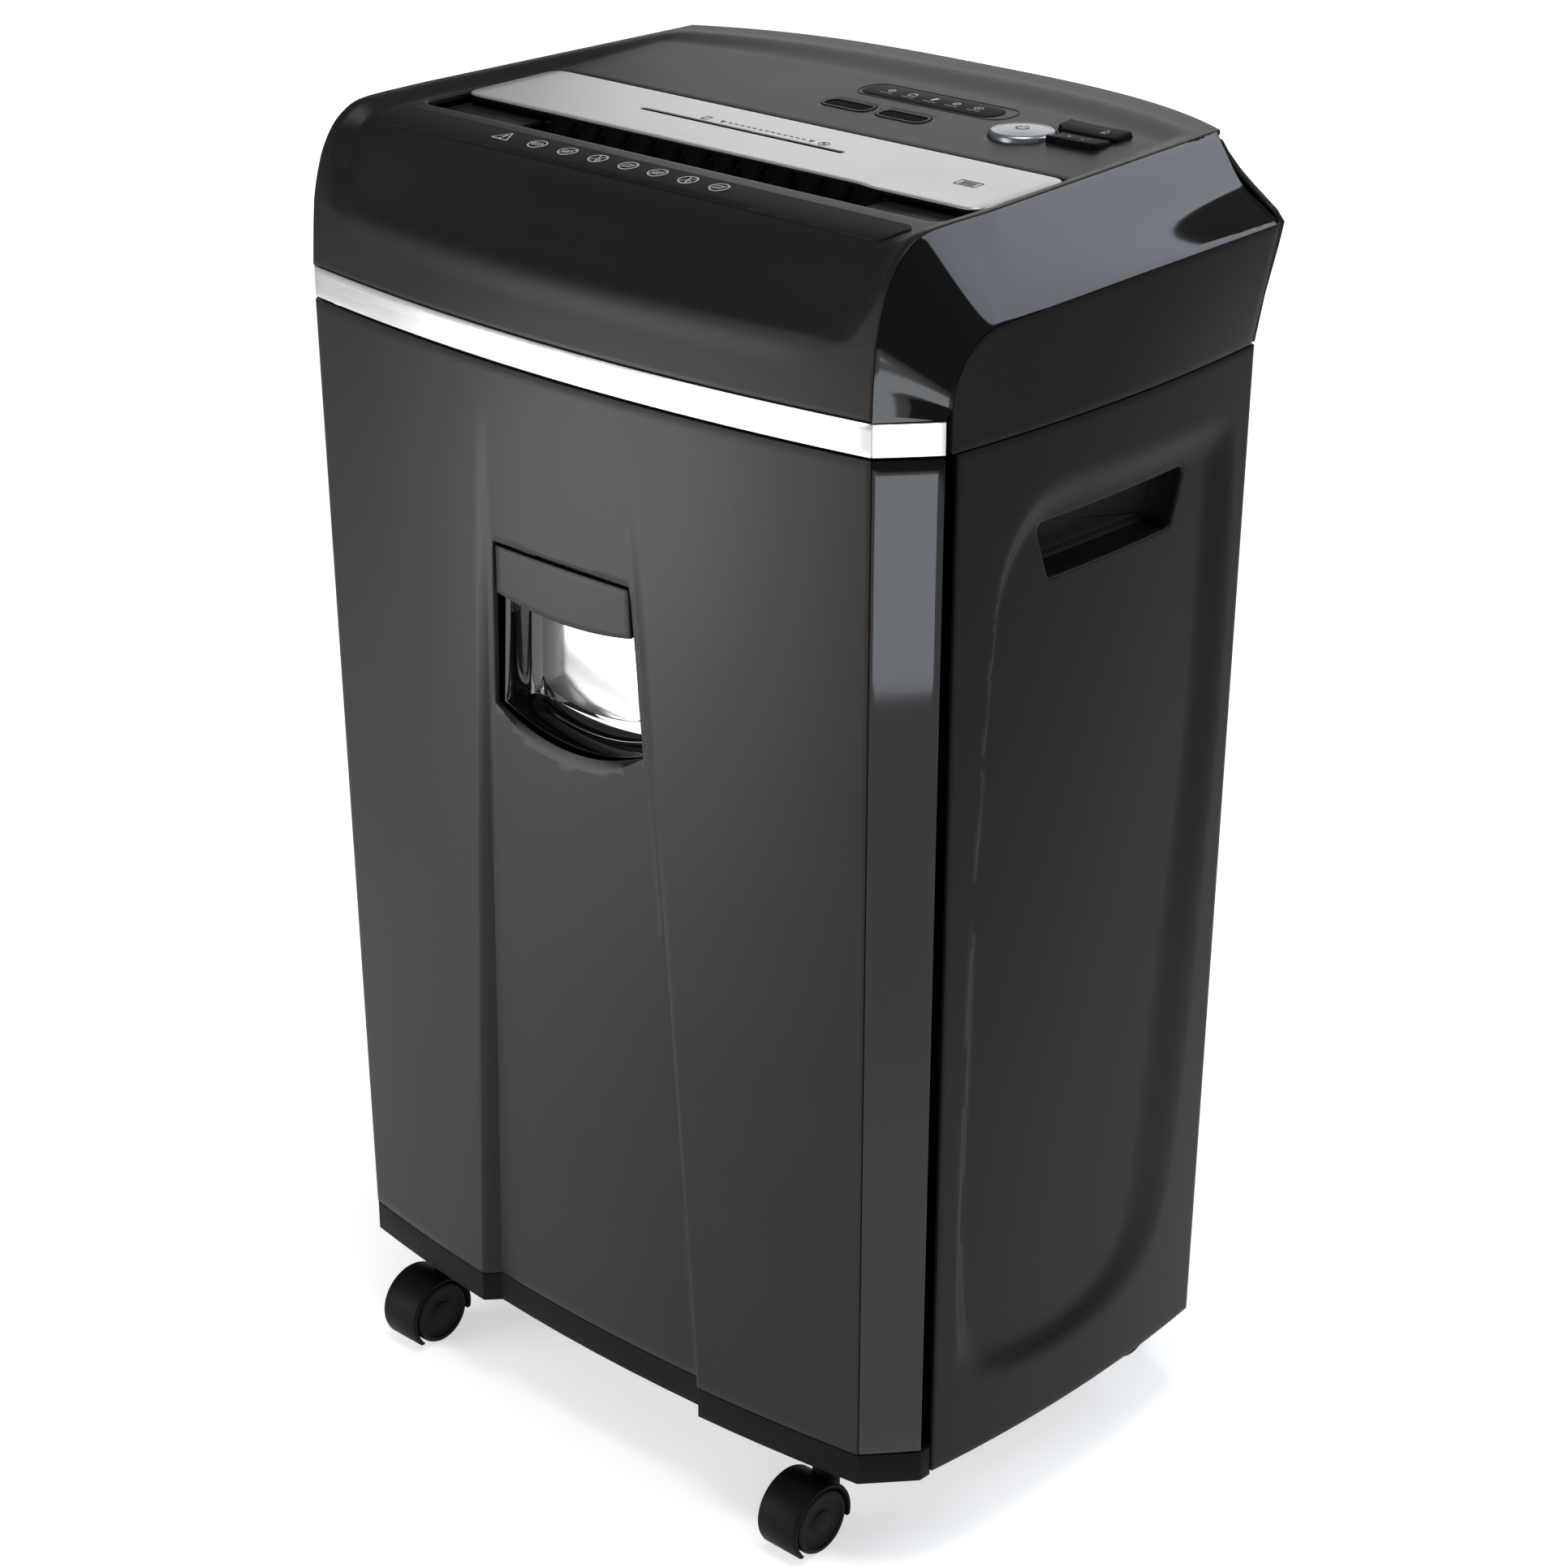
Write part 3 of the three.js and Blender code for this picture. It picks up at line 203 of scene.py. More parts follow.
def divided(piece, *cuts):
    # cuts the mesh along lines of equal x or y, so that it can carry a bend
    hold(piece)
    bpy.ops.object.mode_set(mode="EDIT")
    for normal, places in cuts:
        for at in places:
            bpy.ops.mesh.select_all(action="SELECT")
            bpy.ops.mesh.bisect(plane_co=Vector(normal) * at * mm, plane_no=normal)
    bpy.ops.object.mode_set(mode="OBJECT")


def withoutFaces(piece, chosen):
    # deletes the faces that chosen picks
    hold(piece)
    bpy.ops.object.mode_set(mode="EDIT")
    bpy.ops.mesh.select_mode(type="FACE")
    bpy.ops.mesh.select_all(action="DESELECT")
    bpy.ops.object.mode_set(mode="OBJECT")
    for face in piece.data.polygons:
        face.select = chosen(face)
    bpy.ops.object.mode_set(mode="EDIT")
    bpy.ops.mesh.delete(type="FACE")
    bpy.ops.object.mode_set(mode="OBJECT")


def looseCopy(node, name):
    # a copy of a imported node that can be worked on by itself
    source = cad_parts[node]
    piece = source.copy()
    piece.data = source.data.copy()
    piece.name = name
    for key in list(piece.keys()):
        del piece[key]
    piece.parent = None
    bpy.context.scene.collection.objects.link(piece)
    return facingOut(piece)


def mirroredCopy(piece, name):
    twin = piece.copy()
    twin.data = piece.data.copy()
    twin.name = name
    bpy.context.scene.collection.objects.link(twin)
    for vertex in twin.data.vertices:
        vertex.co.x = -vertex.co.x
    return editAll(twin, bpy.ops.mesh.flip_normals)


# Outlines, as lists of two-number points

def roundedOutline(points, radius, arc=6):
    outline = []
    for i, here in enumerate(points):
        here = Vector(here)
        before = Vector(points[i - 1]) - here
        after = Vector(points[(i + 1) % len(points)]) - here
        reach = min(radius if not isinstance(radius, (list, tuple)) else radius[i],
                    before.length / 2.05, after.length / 2.05)
        start, end = here + before.normalized() * reach, here + after.normalized() * reach
        for t in steps(0, 1, arc):
            outline.append(tuple(start * (1 - t) ** 2 + here * 2 * t * (1 - t) + end * t * t))
    return outline


def oblong(cx, cy, halfX, halfY, radius, arc=6):
    return roundedOutline([(cx - halfX, cy - halfY), (cx + halfX, cy - halfY),
                           (cx + halfX, cy + halfY), (cx - halfX, cy + halfY)], radius, arc)


def roundOutline(cx, cy, radius, sides=48):
    return [(cx + radius * math.cos(2 * math.pi * i / sides),
             cy + radius * math.sin(2 * math.pi * i / sides)) for i in range(sides)]


def spread(outline, distance):
    # the outline grown outwards; it runs anticlockwise
    area = sum(a[0] * b[1] - b[0] * a[1] for a, b in zip(outline, outline[1:] + outline[:1]))
    sign = 1 if area > 0 else -1
    grown = []
    for i, here in enumerate(outline):
        before, after = Vector(outline[i - 1]), Vector(outline[(i + 1) % len(outline)])
        along = (after - before).normalized()
        grown.append((here[0] + sign * along.y * distance, here[1] - sign * along.x * distance))
    return grown


def evenly(outline, pitch):
    # adds points so that no side is longer than pitch
    points = []
    for here, after in zip(outline, outline[1:] + outline[:1]):
        here, after = Vector(here), Vector(after)
        count = max(1, math.ceil((after - here).length / pitch))
        points += [tuple(here.lerp(after, i / count)) for i in range(count)]
    return points


def lipCutter(name, outline, radius, below, place, above=0.7):
    # a cutter that leaves a rounded lip; place takes an outline point and a height
    first = math.radians(20)
    flare = radius * (1 - math.sin(first)) + (above + radius * (1 - math.cos(first))) / math.tan(first)
    profile = [(flare, above + 9), (flare, above)]
    for angle in [first] + [math.radians(a) for a in (40, 60, 78)]:
        profile.append((radius * (1 - math.sin(angle)), -radius * (1 - math.cos(angle))))
    profile += [(0, -radius), (0, -below)]
    return stacked(name, [[place(point, height) for point in spread(outline, grow)]
                          for grow, height in profile])


# Finishes

class Wire:
    # a node's output that can be used in sums
    def __init__(self, bench, socket):
        self.bench, self.socket = bench, socket

    def worked(self, operation, first, second=0.0):
        return self.bench.node("ShaderNodeMath", {"operation": operation}, {0: first, 1: second})

    def __add__(self, other):
        return self.worked("ADD", self, other)

    __radd__ = __add__

    def __mul__(self, other):
        return self.worked("MULTIPLY", self, other)

    __rmul__ = __mul__

    def __sub__(self, other):
        return self.worked("SUBTRACT", self, other)

    def __rsub__(self, other):
        return self.worked("SUBTRACT", other, self)


class Finish:
    # one material and its nodes
    def __init__(self, name):
        self.material = bpy.data.materials.new(name)
        self.material.use_nodes = True
        self.tree = self.material.node_tree
        self.shader = self.tree.nodes["Principled BSDF"]
        self.place = self.node("ShaderNodeTexCoord", output="Object")

    def node(self, kind, settings=None, sockets=None, output=0):
        made = self.tree.nodes.new(kind)
        for name, value in (settings or {}).items():
            if name == "stops":
                for element, (at, level) in zip(made.color_ramp.elements, value):
                    element.position, element.color = at, (level, level, level, 1)
            else:
                setattr(made, name, value)
        for name, value in (sockets or {}).items():
            self.join(made.inputs[name], value)
        return Wire(self, made.outputs[output])

    def join(self, socket, value):
        if isinstance(value, Wire):
            self.tree.links.new(value.socket, socket)
        else:
            socket.default_value = value

    def sets(self, **values):
        # shader sockets by name, with _ for a space
        for name, value in values.items():
            self.join(self.shader.inputs[name.replace("_", " ")], value)
        return self

    def grain(self, scale, detail=2.0, roughness=0.5):
        return self.node("ShaderNodeTexNoise", {"noise_dimensions": "3D"},
                         {"Vector": self.place, "Scale": scale, "Detail": detail,
                          "Roughness": roughness}, "Fac")

    def blendOf(self, share, first, second):
        return self.node("ShaderNodeMix", {"data_type": "RGBA"},
                         {0: share, 6: first, 7: second}, 2)

    def along(self, axis):
        # distance along an axis
        return self.node("ShaderNodeVectorMath", {"operation": "DOT_PRODUCT"},
                         {0: self.place, 1: axis}, "Value")

    def ramp(self, value, low, high):
        return self.node("ShaderNodeMapRange", None, {"Value": value, "From Min": low, "From Max": high})

    def bumps(self, height, strength, distance):
        return self.node("ShaderNodeBump", None,
                         {"Height": height, "Strength": strength, "Distance": distance * mm}, "Normal")


def grey(level, warm=0.0):
    # a linear colour from an 8-bit display level, a little warm or cool
    value = (level / 255 + 0.055) / 1.055
    value = value ** 2.4
    return (value * (1 + warm), value, value * (1 - warm), 1)


def mouldedFinish(name, level, warm, roughness, grainSize, depth, gleam=0.35):
    made = Finish(name)
    fine = made.grain(1 / (grainSize * mm), 2.0, 0.55)
    broad = made.grain(14, 3.0)
    made.sets(
        Base_Color=made.blendOf(broad, grey(level - 3, warm), grey(level + 3, warm)),
        Roughness=roughness - 0.05 + 0.1 * fine + 0.04 * broad,
        Normal=made.bumps(fine, 0.35, depth),
        Specular_IOR_Level=gleam,
    )
    return made.material


def polishedFinish(name, level, warm, roughness, ior, coat):
    made = Finish(name)
    swirl = made.grain(30, 4.0)
    haze = made.grain(900, 2.0)
    made.sets(
        Base_Color=made.blendOf(swirl, grey(level - 1, warm), grey(level + 1, warm)),
        Roughness=roughness + 0.02 * swirl + 0.01 * haze,
        Normal=made.bumps(made.grain(9, 1.0), 0.03, 0.4),
        IOR=ior, Coat_Weight=coat, Coat_Roughness=0.03,
    )
    return made.material


def metalFinish(name, level, warm, roughness, metallic, stretch):
    made = Finish(name)
    turned = made.node("ShaderNodeMapping", None, {"Vector": made.place, "Scale": stretch})
    brushed = made.node("ShaderNodeTexNoise", None, {"Vector": turned, "Scale": 1.0, "Detail": 4.0}, "Fac")
    made.sets(
        Base_Color=made.blendOf(brushed, grey(level - 6, warm), grey(level + 6, warm)),
        Roughness=roughness - 0.06 + 0.12 * brushed,
        Normal=made.bumps(brushed, 0.1, 0.05),
        Metallic=metallic,
    )
    return made.material


def polishedMetal(name, level, warm, roughness):
    made = Finish(name)
    swirl = made.grain(24, 3.0)
    made.sets(
        Base_Color=made.blendOf(swirl, grey(level - 5, warm), grey(level + 5, warm)),
        Roughness=roughness + 0.03 * swirl,
        Normal=made.bumps(made.grain(12, 1.0), 0.05, 0.3),
        Metallic=0.9,
    )
    return made.material


finishes = {
    "charcoal": mouldedFinish("charcoal_plastic", 30, 0.1, 0.36, 0.9, 0.1, 0.14),
    "dark": mouldedFinish("dark_plastic", 22, 0.1, 0.38, 0.8, 0.1, 0.1),
    "black": mouldedFinish("black_plastic", 16, 0.0, 0.5, 0.7, 0.1, 0.06),
    "strip": mouldedFinish("strip_film", 34, 0.0, 0.55, 0.7, 0.05, 0.06),
    "lens": mouldedFinish("indicator_lens", 34, 0.0, 0.5, 1.2, 0.04, 0.04),
    "rubber": mouldedFinish("wheel_tread", 22, 0.0, 0.6, 1.3, 0.15, 0.1),
    "gloss": polishedFinish("gloss_black", 7, -0.12, 0.05, 1.42, 0.1),
    "smoke": polishedFinish("smoke_window", 12, 0.0, 0.04, 1.8, 0.6),
    "silver": metalFinish("silver_band", 232, -0.015, 0.24, 0.85, (40, 40, 900)),
    "button": metalFinish("button_silver", 170, -0.05, 0.32, 0.9, (1500, 1500, 1500)),
    # a bright metal for the patch in the bin window, painted reflection
    "reflectionPatch": polishedMetal("painted_reflection_metal", 186, -0.02, 0.12),
    "satin": metalFinish("satin_plate", 204, -0.012, 0.34, 0.75, (30, 700, 700)),
    "steel": metalFinish("bright_steel", 150, 0.0, 0.32, 1.0, (900, 60, 60)),
    "board": mouldedFinish("circuit_board", 60, -0.6, 0.45, 2.0, 0.05),
    "marks": mouldedFinish("printed_marks", 196, 0.0, 0.5, 1.0, 0.02),
    "darkMarks": mouldedFinish("printed_dark_marks", 40, 0.0, 0.5, 1.0, 0.02),
}


def dressed(piece, finish, body, *nodes):
    # gives a piece its finish and its body, and hides the CAD nodes that it stands for
    piece.data.materials.clear()
    piece.data.materials.append(finishes[finish])
    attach(piece, body)
    if nodes:
        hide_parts(*nodes)
    return piece


print("finishes made")


# Stage, light and camera

camera = {"azimuth": 43.4, "elevation": 23.6, "distance": 1.8217, "target": (0.0131, -0.0087, 0.3382),
          "lens": 81.99, "sensor": 36}


def aimed(thing, target):
    thing.rotation_mode = "QUATERNION"
    thing.rotation_quaternion = (Vector(target) - thing.location).to_track_quat("-Z", "Y")


def setCamera():
    around, up = math.radians(camera["azimuth"]), math.radians(camera["elevation"])
    back = Vector((math.sin(around) * math.cos(up), -math.cos(around) * math.cos(up), math.sin(up)))
    letGo()
    bpy.ops.object.camera_add(location=Vector(camera["target"]) + back * camera["distance"])
    made = bpy.context.object
    aimed(made, camera["target"])
    made.data.lens, made.data.sensor_width = camera["lens"], camera["sensor"]
    made.data.dof.use_dof = False
    bpy.context.scene.camera = made


setCamera()

stage = {"floorSize": 14, "floorLevel": 246, "worldLevel": 0.16, "glowNear": 196, "glowFar": 255,
         "glowSide": 110, "glowBehind": (1.2, 3.4), "glowBeside": (0.5, 1.4)}
lights = [
    # name, place, aimed at, width, height, watts, colour
    ("key", (-0.9, -2.9, 1.0), (0, 0, 0.35), 1.5, 1.3, 16, (1, 0.99, 0.96)),
    ("back", (-1.57, 2.6, 1.5), (0, 0, 0.6), 2.0, 1.8, 12, (1, 0.99, 0.97)),
    ("trim", (1.35, 1.7, 1.9), (0.15, 0, 0.6), 1.6, 1.4, 24, (0.8, 0.88, 1)),
    ("top", (0.3, -0.2, 3.0), (0, 0, 0.3), 1.2, 1.2, 30, (1, 1, 1)),
    ("face", (-0.58, -0.92, 0.22), (0.12, -0.15, 0.5), 0.55, 0.34, 6.5, (1, 0.98, 0.95)),
    ("strip", (0.68, -0.5, 0.36), (0.2, -0.14, 0.5), 0.34, 0.3, 1.2, (0.82, 0.88, 1)),
]


def setStage():
    letGo()
    bpy.ops.mesh.primitive_plane_add(size=stage["floorSize"])
    floor = bpy.context.object
    floor.name = "floor"
    made = Finish("pale_floor")
    # the floor glows more far off along the view, and less beside the shredder
    back, across = made.along((-0.687, 0.727, 0)), made.along((0.727, 0.687, 0))
    back, across = back.worked("ABSOLUTE", back), across.worked("ABSOLUTE", across)
    behind = made.ramp(back, *stage["glowBehind"])
    beside = made.ramp(across - 0.25 * back, *stage["glowBeside"])
    glow = made.blendOf(beside, made.blendOf(behind, grey(stage["glowNear"]), grey(stage["glowFar"])),
                        grey(stage["glowSide"]))
    made.sets(Base_Color=made.blendOf(made.grain(3), grey(stage["floorLevel"] - 1), grey(stage["floorLevel"])),
              Roughness=0.7, Emission_Color=glow, Emission_Strength=1.0)
    floor.data.materials.append(made.material)
    for name, place, target, width, height, watts, colour in lights:
        letGo()
        bpy.ops.object.light_add(type="AREA", location=place)
        light = bpy.context.object
        light.name = name + "_light"
        light.data.shape, light.data.size, light.data.size_y = "RECTANGLE", width, height
        light.data.energy, light.data.color = watts, colour
        light.visible_camera = False
        aimed(light, target)
    world = bpy.data.worlds.new("soft_room")
    bpy.context.scene.world = world
    world.use_nodes = True
    sky = world.node_tree.nodes["Background"]
    sky.inputs["Color"].default_value = (0.95, 0.97, 1, 1)
    sky.inputs["Strength"].default_value = stage["worldLevel"]


setStage()
print("stage set")


# Casing surfaces, in millimetres

cabinet = {
    "depth": 302.4, "frontHalf": 185, "frontBulge": 15, "chamferWidth": 21, "chamferDepth": 24.5,
    "sideBulge": 7, "rearHalf": 200, "rearBulge": 33, "taper": 0.035,
    "baseZ": 52, "baseStrip": 17, "height": 530, "wall": 3, "gap": 0.4, "slit": 8,
}
frontHalf, frontBulge, rearHalf, rearBulge = (
    cabinet[key] for key in ("frontHalf", "frontBulge", "rearHalf", "rearBulge"))
wall, gap, baseZ = cabinet["wall"], cabinet["gap"], cabinet["baseZ"]
seamZ = baseZ + cabinet["height"]
frontY = -cabinet["depth"] / 2 + frontBulge
rearY = cabinet["depth"] / 2 - rearBulge
chamferX = frontHalf + cabinet["chamferWidth"]
chamferY = frontY + cabinet["chamferDepth"]
sideFrontY = chamferY + cabinet["slit"]
binBottomZ = baseZ + cabinet["baseStrip"] + gap
binTop = seamZ - 1


def taper(z):
    return 1 - cabinet["taper"] * max(0, seamZ - z) / cabinet["height"]


def frontLine(x):
    return frontY - frontBulge * (1 - (x / frontHalf) ** 2)


def rearLine(x, half=rearHalf):
    return rearY + rearBulge * (1 - abs(x / half) ** 3)


def sideLine(y):
    share = clamp((y - chamferY) / (rearY - chamferY))
    return mix(chamferX, rearHalf, share) + 4 * cabinet["sideBulge"] * share * (1 - share)


def sideFace(y, z):
    return sideLine(y / taper(z)) * taper(z)


# Side panels

sidePanel = {
    "columns": 84, "rows": 130, "embossDepth": 5.0,
    # carried line of the pressed field and the line of its floor, as y and z
    "outer": [(-85.7, 129), (-86.2, 282), (-81.7, 406), (-76.7, 484), (-72.2, 520), (-56.2, 546),
              (-30, 554), (19.3, 553.5), (70, 552.5), (98, 549), (104.5, 530), (106.3, 472), (105.9, 387),
              (99.3, 300), (93.3, 211), (78.3, 122), (43.3, 92), (-11.7, 87), (-58, 92), (-80, 104)],
    "inner": [(-79.2, 160), (-79.7, 240), (-78.3, 404), (-74.2, 482), (-68, 512), (-52, 531),
              (-30, 537), (19.3, 537), (60, 536.5), (80, 532), (84, 515), (83, 470), (81.3, 395),
              (69.3, 289), (57.3, 179), (46, 122), (7.3, 100), (-43.7, 102), (-70, 118)],
    "pocket": [(-36.7, 506), (56.3, 506), (66.3, 534), (-46.7, 534)],
    "pocketRadius": (3, 3, 6, 6), "pocketDepth": 17.5, "pocketLip": 1.3,
}


def closedLine(points, count):
    # a smooth closed line through the points
    around = points[-2:] + points + points[:3]
    return [tuple(through(around, 2 + len(points) * i / count)) for i in range(count)]


def distanceTo(line, point):
    best = 1e9
    px, py = point
    for (ax, ay), (bx, by) in zip(line, line[1:] + line[:1]):
        dx, dy = bx - ax, by - ay
        share = clamp(((px - ax) * dx + (py - ay) * dy) / (dx * dx + dy * dy))
        best = min(best, (px - ax - share * dx) ** 2 + (py - ay - share * dy) ** 2)
    return math.sqrt(best)


def within(line, point):
    px, py = point
    inside = False
    for (ax, ay), (bx, by) in zip(line, line[1:] + line[:1]):
        if (ay > py) != (by > py) and px < (bx - ax) * (py - ay) / (by - ay) + ax:
            inside = not inside
    return inside


outerArch = closedLine(sidePanel["outer"], 90)
innerArch = closedLine(sidePanel["inner"], 90)


def pressed(y, z):
    # how far the side is pressed in at y and z
    point = (y, z)
    if not within(outerArch, point):
        return 0
    share = 1
    if not within(innerArch, point):
        toOuter, toInner = distanceTo(outerArch, point), distanceTo(innerArch, point)
        share = toOuter / (toOuter + toInner)
    return sidePanel["embossDepth"] * mix(share, smooth(share, 0, 1), 0.6)


def sidePoint(y, z, inwards=0.0):
    return (sideFace(y, z) - pressed(y, z) - inwards, y, z)


def sideRow(y, share):
    low = mix(baseZ + 2, baseZ - 4, (y - sideFrontY) / (rearY - sideFrontY))
    return mix(low, seamZ - gap, share)


def makeSidePanel():
    columns = steps(sideFrontY, rearY, sidePanel["columns"])
    rows = steps(0, 1, sidePanel["rows"])

    def surface(y, share):
        z = sideRow(y, share)
        return sidePoint(y * taper(z), z)

    panel = walled(bentGrid("side_panel", columns, rows, surface, (1, 0, 0)), wall - 0.4, 0.7)
    outline = evenly(roundedOutline(sidePanel["pocket"], sidePanel["pocketRadius"]), 6)
    panel = carved(panel, lipCutter("pocket_cutter", outline, sidePanel["pocketLip"], wall + 9,
                                    lambda point, height: sidePoint(point[0], point[1], -height)))
    smoothed(panel)
    # the cup behind the mouth, rounded where its walls meet its back
    deep = sidePanel["pocketDepth"]
    rings = [(0.6, wall - 0.6), (0.6, 8), (0.0, deep - 5), (-1.5, deep - 1.6), (-4.5, deep)]
    flat = rearHalf + 4
    cup = stacked("pocket_cup", [[sidePoint(y, z, depth) if depth < 4 else (flat - depth, y, z)
                                  for y, z in spread(outline, grow)] for grow, depth in rings])
    mouth = max(cup.data.polygons, key=lambda face: (len(face.vertices) > 8, face.center.x)).index
    withoutFaces(cup, lambda face: face.index == mouth)
    applied(cup, "SOLIDIFY", thickness=1.4 * mm, offset=1)
    smoothed(cup)
    panel = joined("side_panel_right_shell", panel, cup)
    twin = mirroredCopy(panel, "side_panel_left_shell")
    dressed(panel, "dark", "cabinet", "side_panel_right")
    dressed(twin, "dark", "cabinet", "side_panel_left")


makeSidePanel()
print("side panels made")


# Back panel

backPanel = {"columns": 48, "rows": 60, "fieldHalf": 150, "fieldLow": 110, "fieldHigh": 540, "fieldDepth": 1.6}


def makeBackPanel():
    half = rearHalf - wall - gap

    def surface(u, z):
        x = u * half
        edge = min(smooth(backPanel["fieldHalf"] - abs(x), -4, 4),
                   smooth(z - backPanel["fieldLow"], -4, 4), smooth(backPanel["fieldHigh"] - z, -4, 4))
        return (x * taper(z), (rearLine(x) - backPanel["fieldDepth"] * edge) * taper(z), z)

    edges = (-4, -2, 0, 2, 4)
    columns = sorted(set(steps(-1, 1, backPanel["columns"])
                         + [sign * (backPanel["fieldHalf"] + d) / half for sign in (-1, 1) for d in edges]))
    rows = sorted(set(steps(baseZ, seamZ - gap, backPanel["rows"])
                      + [backPanel[key] + d for key in ("fieldLow", "fieldHigh") for d in edges]))
    panel = walled(bentGrid("back_panel_shell", columns, rows, surface, (0, 1, 0)), wall - 0.4, 0.6)
    dressed(panel, "dark", "cabinet", "back_panel")


makeBackPanel()


# Bin front, its window and its grip

binFront = {
    "recess": 8, "recessTop": 560, "creaseTop": 50, "creaseBottom": 77, "creaseWidth": 7.5,
    "windowTop": 491, "windowSide": 406, "windowBottom": 394, "lipBottom": 385,
    "windowTopHalf": 46.5, "windowBottomHalf": 51, "windowLip": 1.0, "lipDepth": 2.1,
    "rows": 90,
}
faceHalf = frontHalf - gap / 2


def creaseX(z):
    low, high = binBottomZ, binFront["recessTop"]
    return mix(binFront["creaseBottom"], binFront["creaseTop"], (z - low) / (high - low))


def recessAt(x, z):
    depth = binFront["recess"] * clamp((binFront["recessTop"] - z) / (binFront["recessTop"] - binBottomZ))
    out = (abs(x) - creaseX(z)) / binFront["creaseWidth"] + 0.5
    # crisp on the outside, soft on the inside
    return depth * (1 - clamp(out)) ** 1.35 if out > 0 else depth


def facePoint(x, z, inwards=0.0):
    scale = taper(z)
    return (x, frontLine(x / scale) * scale + recessAt(x, z) + inwards, z)


def faceColumn(u, z):
    inner, outer = creaseX(z) - binFront["creaseWidth"] / 2, creaseX(z) + binFront["creaseWidth"] / 2
    size = abs(u)
    if size <= 0.35:
        x = inner * size / 0.35
    elif size <= 0.5:
        x = mix(inner, outer, (size - 0.35) / 0.15)
    else:
        x = mix(outer, faceHalf * taper(z), (size - 0.5) / 0.5)
    return math.copysign(x, u)


def windowOutline(inset=0.0, bottom=None, sides=28):
    bottom = binFront["windowBottom"] if bottom is None else bottom
    halfTop, halfLow = binFront["windowTopHalf"] - inset, binFront["windowBottomHalf"] - inset
    top, side = binFront["windowTop"] - inset, binFront["windowSide"]
    arc = []
    for t in steps(0, 1, sides):
        x = mix(-halfLow, halfLow, t)
        arc.append((x, side - (side - bottom - inset) * 4 * t * (1 - t)))
    right = [(mix(halfLow, halfTop, t), mix(side, top, t)) for t in steps(0, 1, 12)[1:]]
    left = [(-x, z) for x, z in reversed(right)]
    return arc + right + left


def makeBinFront():
    half = [0.0, 0.05, 0.1, 0.15, 0.2, 0.25, 0.3, 0.33, 0.35, 0.372, 0.394, 0.416, 0.438, 0.46, 0.48,
            0.494, 0.5, 0.508, 0.53, 0.57, 0.62, 0.67, 0.72, 0.77, 0.82, 0.87, 0.92, 0.96, 0.99, 1.0]
    columns = [-u for u in reversed(half[1:])] + half
    rows = steps(binBottomZ, binTop, binFront["rows"])
    surface = lambda u, z: facePoint(faceColumn(u, z), z)
    panel = walled(bentGrid("bin_front_shell", columns, rows, surface, (0, -1, 0)), wall - 0.4, 0.6)
    place = lambda point, height: facePoint(point[0], point[1], -height)
    carved(panel, lipCutter("window_cutter", windowOutline(), binFront["windowLip"], wall + 12, place))
    # the chamfer below the window, wide in the middle
    low, high = windowOutline(0.0, binFront["lipBottom"]), windowOutline(0.3)
    wide = [(mix(a[0], b[0], -0.4), mix(a[1], b[1], -0.4)) for a, b in zip(low, high)]
    levels = ((wide, 12), (wide, 2), (high, -binFront["lipDepth"]), (high, -wall - 8))
    carved(panel, stacked("lip_cutter", [[place(p, height) for p in ring] for ring, height in levels]))
    smoothed(panel)
    dressed(panel, "charcoal", "bin", "bin_front_panel")


makeBinFront()

binWindow = {"clear": 0.4, "setBack": 4.6, "depth": 20.3, "rim": 1.6, "corner": 7}
windowFaceY = facePoint(0, binFront["windowSide"])[1]


def makeWindow():
    # a deep glossy scoop, rounded where its walls meet its back
    mouth = windowFaceY + binWindow["setBack"] + 2
    back = mouth + binWindow["depth"] - 2.5
    corner = binWindow["corner"]
    inner, outer = binWindow["clear"], binWindow["clear"] + binWindow["rim"]
    profile = [(inner, back + 1.6), (inner, mouth), (inner + 0.5, mouth - 0.5), (outer - 0.5, mouth - 0.5),
               (outer, mouth)]
    for angle in steps(0, math.pi / 2, 6):
        profile.append((outer + corner * (1 - math.cos(angle)) + 1.5, back - corner + corner * math.sin(angle)))
    rings = [[(x, y, z) for x, z in windowOutline(inset)] for inset, y in profile]
    window = smoothed(stacked("bin_window_scoop", rings), 40)
    dressed(window, "smoke", "bin", "bin_window")
    # a bright silver patch set left of centre at the back of the scoop: painted reflection of the light on the
    # window's clear pane, the pane that shows how full the bin is
    low, high = binFront["windowSide"] + 5, binFront["windowTop"] - 4
    left, right = -binFront["windowTopHalf"] + 7, binFront["windowTopHalf"] - 17
    shape = roundedOutline([(left - 1, low), ((left + right) / 2, low - 6), (right + 1, low), (right, high),
                            (left, high)], (9, 30, 9, 3, 3), 8)
    rings = [[(x, back - at, z) for x, z in spread(shape, grow)]
             for grow, at in ((0, 0.2), (0, 0.9), (-0.4, 1.3), (-1.0, 1.4))]
    reflectionPatch = smoothed(stacked("bin_window_reflection_patch", rings), 30)
    dressed(reflectionPatch, "reflectionPatch", "bin")


makeWindow()

binGrip = {"half": 45.4, "foot": 46.0, "top": 489.6, "bottom": 465, "sag": 4.5, "thickness": 3.2,
           "setBack": 0.5}


def makeGrip():
    g = binGrip

    def surface(u, v):
        z = mix(g["bottom"] - g["sag"] * (1 - u * u), g["top"], v)
        x = u * mix(g["foot"], g["half"], v)
        return (x, facePoint(x * 0.9, z)[1] + g["setBack"], z)

    grip = walled(bentGrid("bin_grip_plate", steps(-1, 1, 24), steps(0, 1, 8), surface, (0, -1, 0)),
                  binGrip["thickness"], 0.7)
    dressed(grip, "charcoal", "bin", "bin_grip")


makeGrip()


# Corner strips beside the bin front

cornerStrip = {"columns": 8, "rows": 30, "crown": 0.35, "thickness": 3.4, "lip": 0.8}


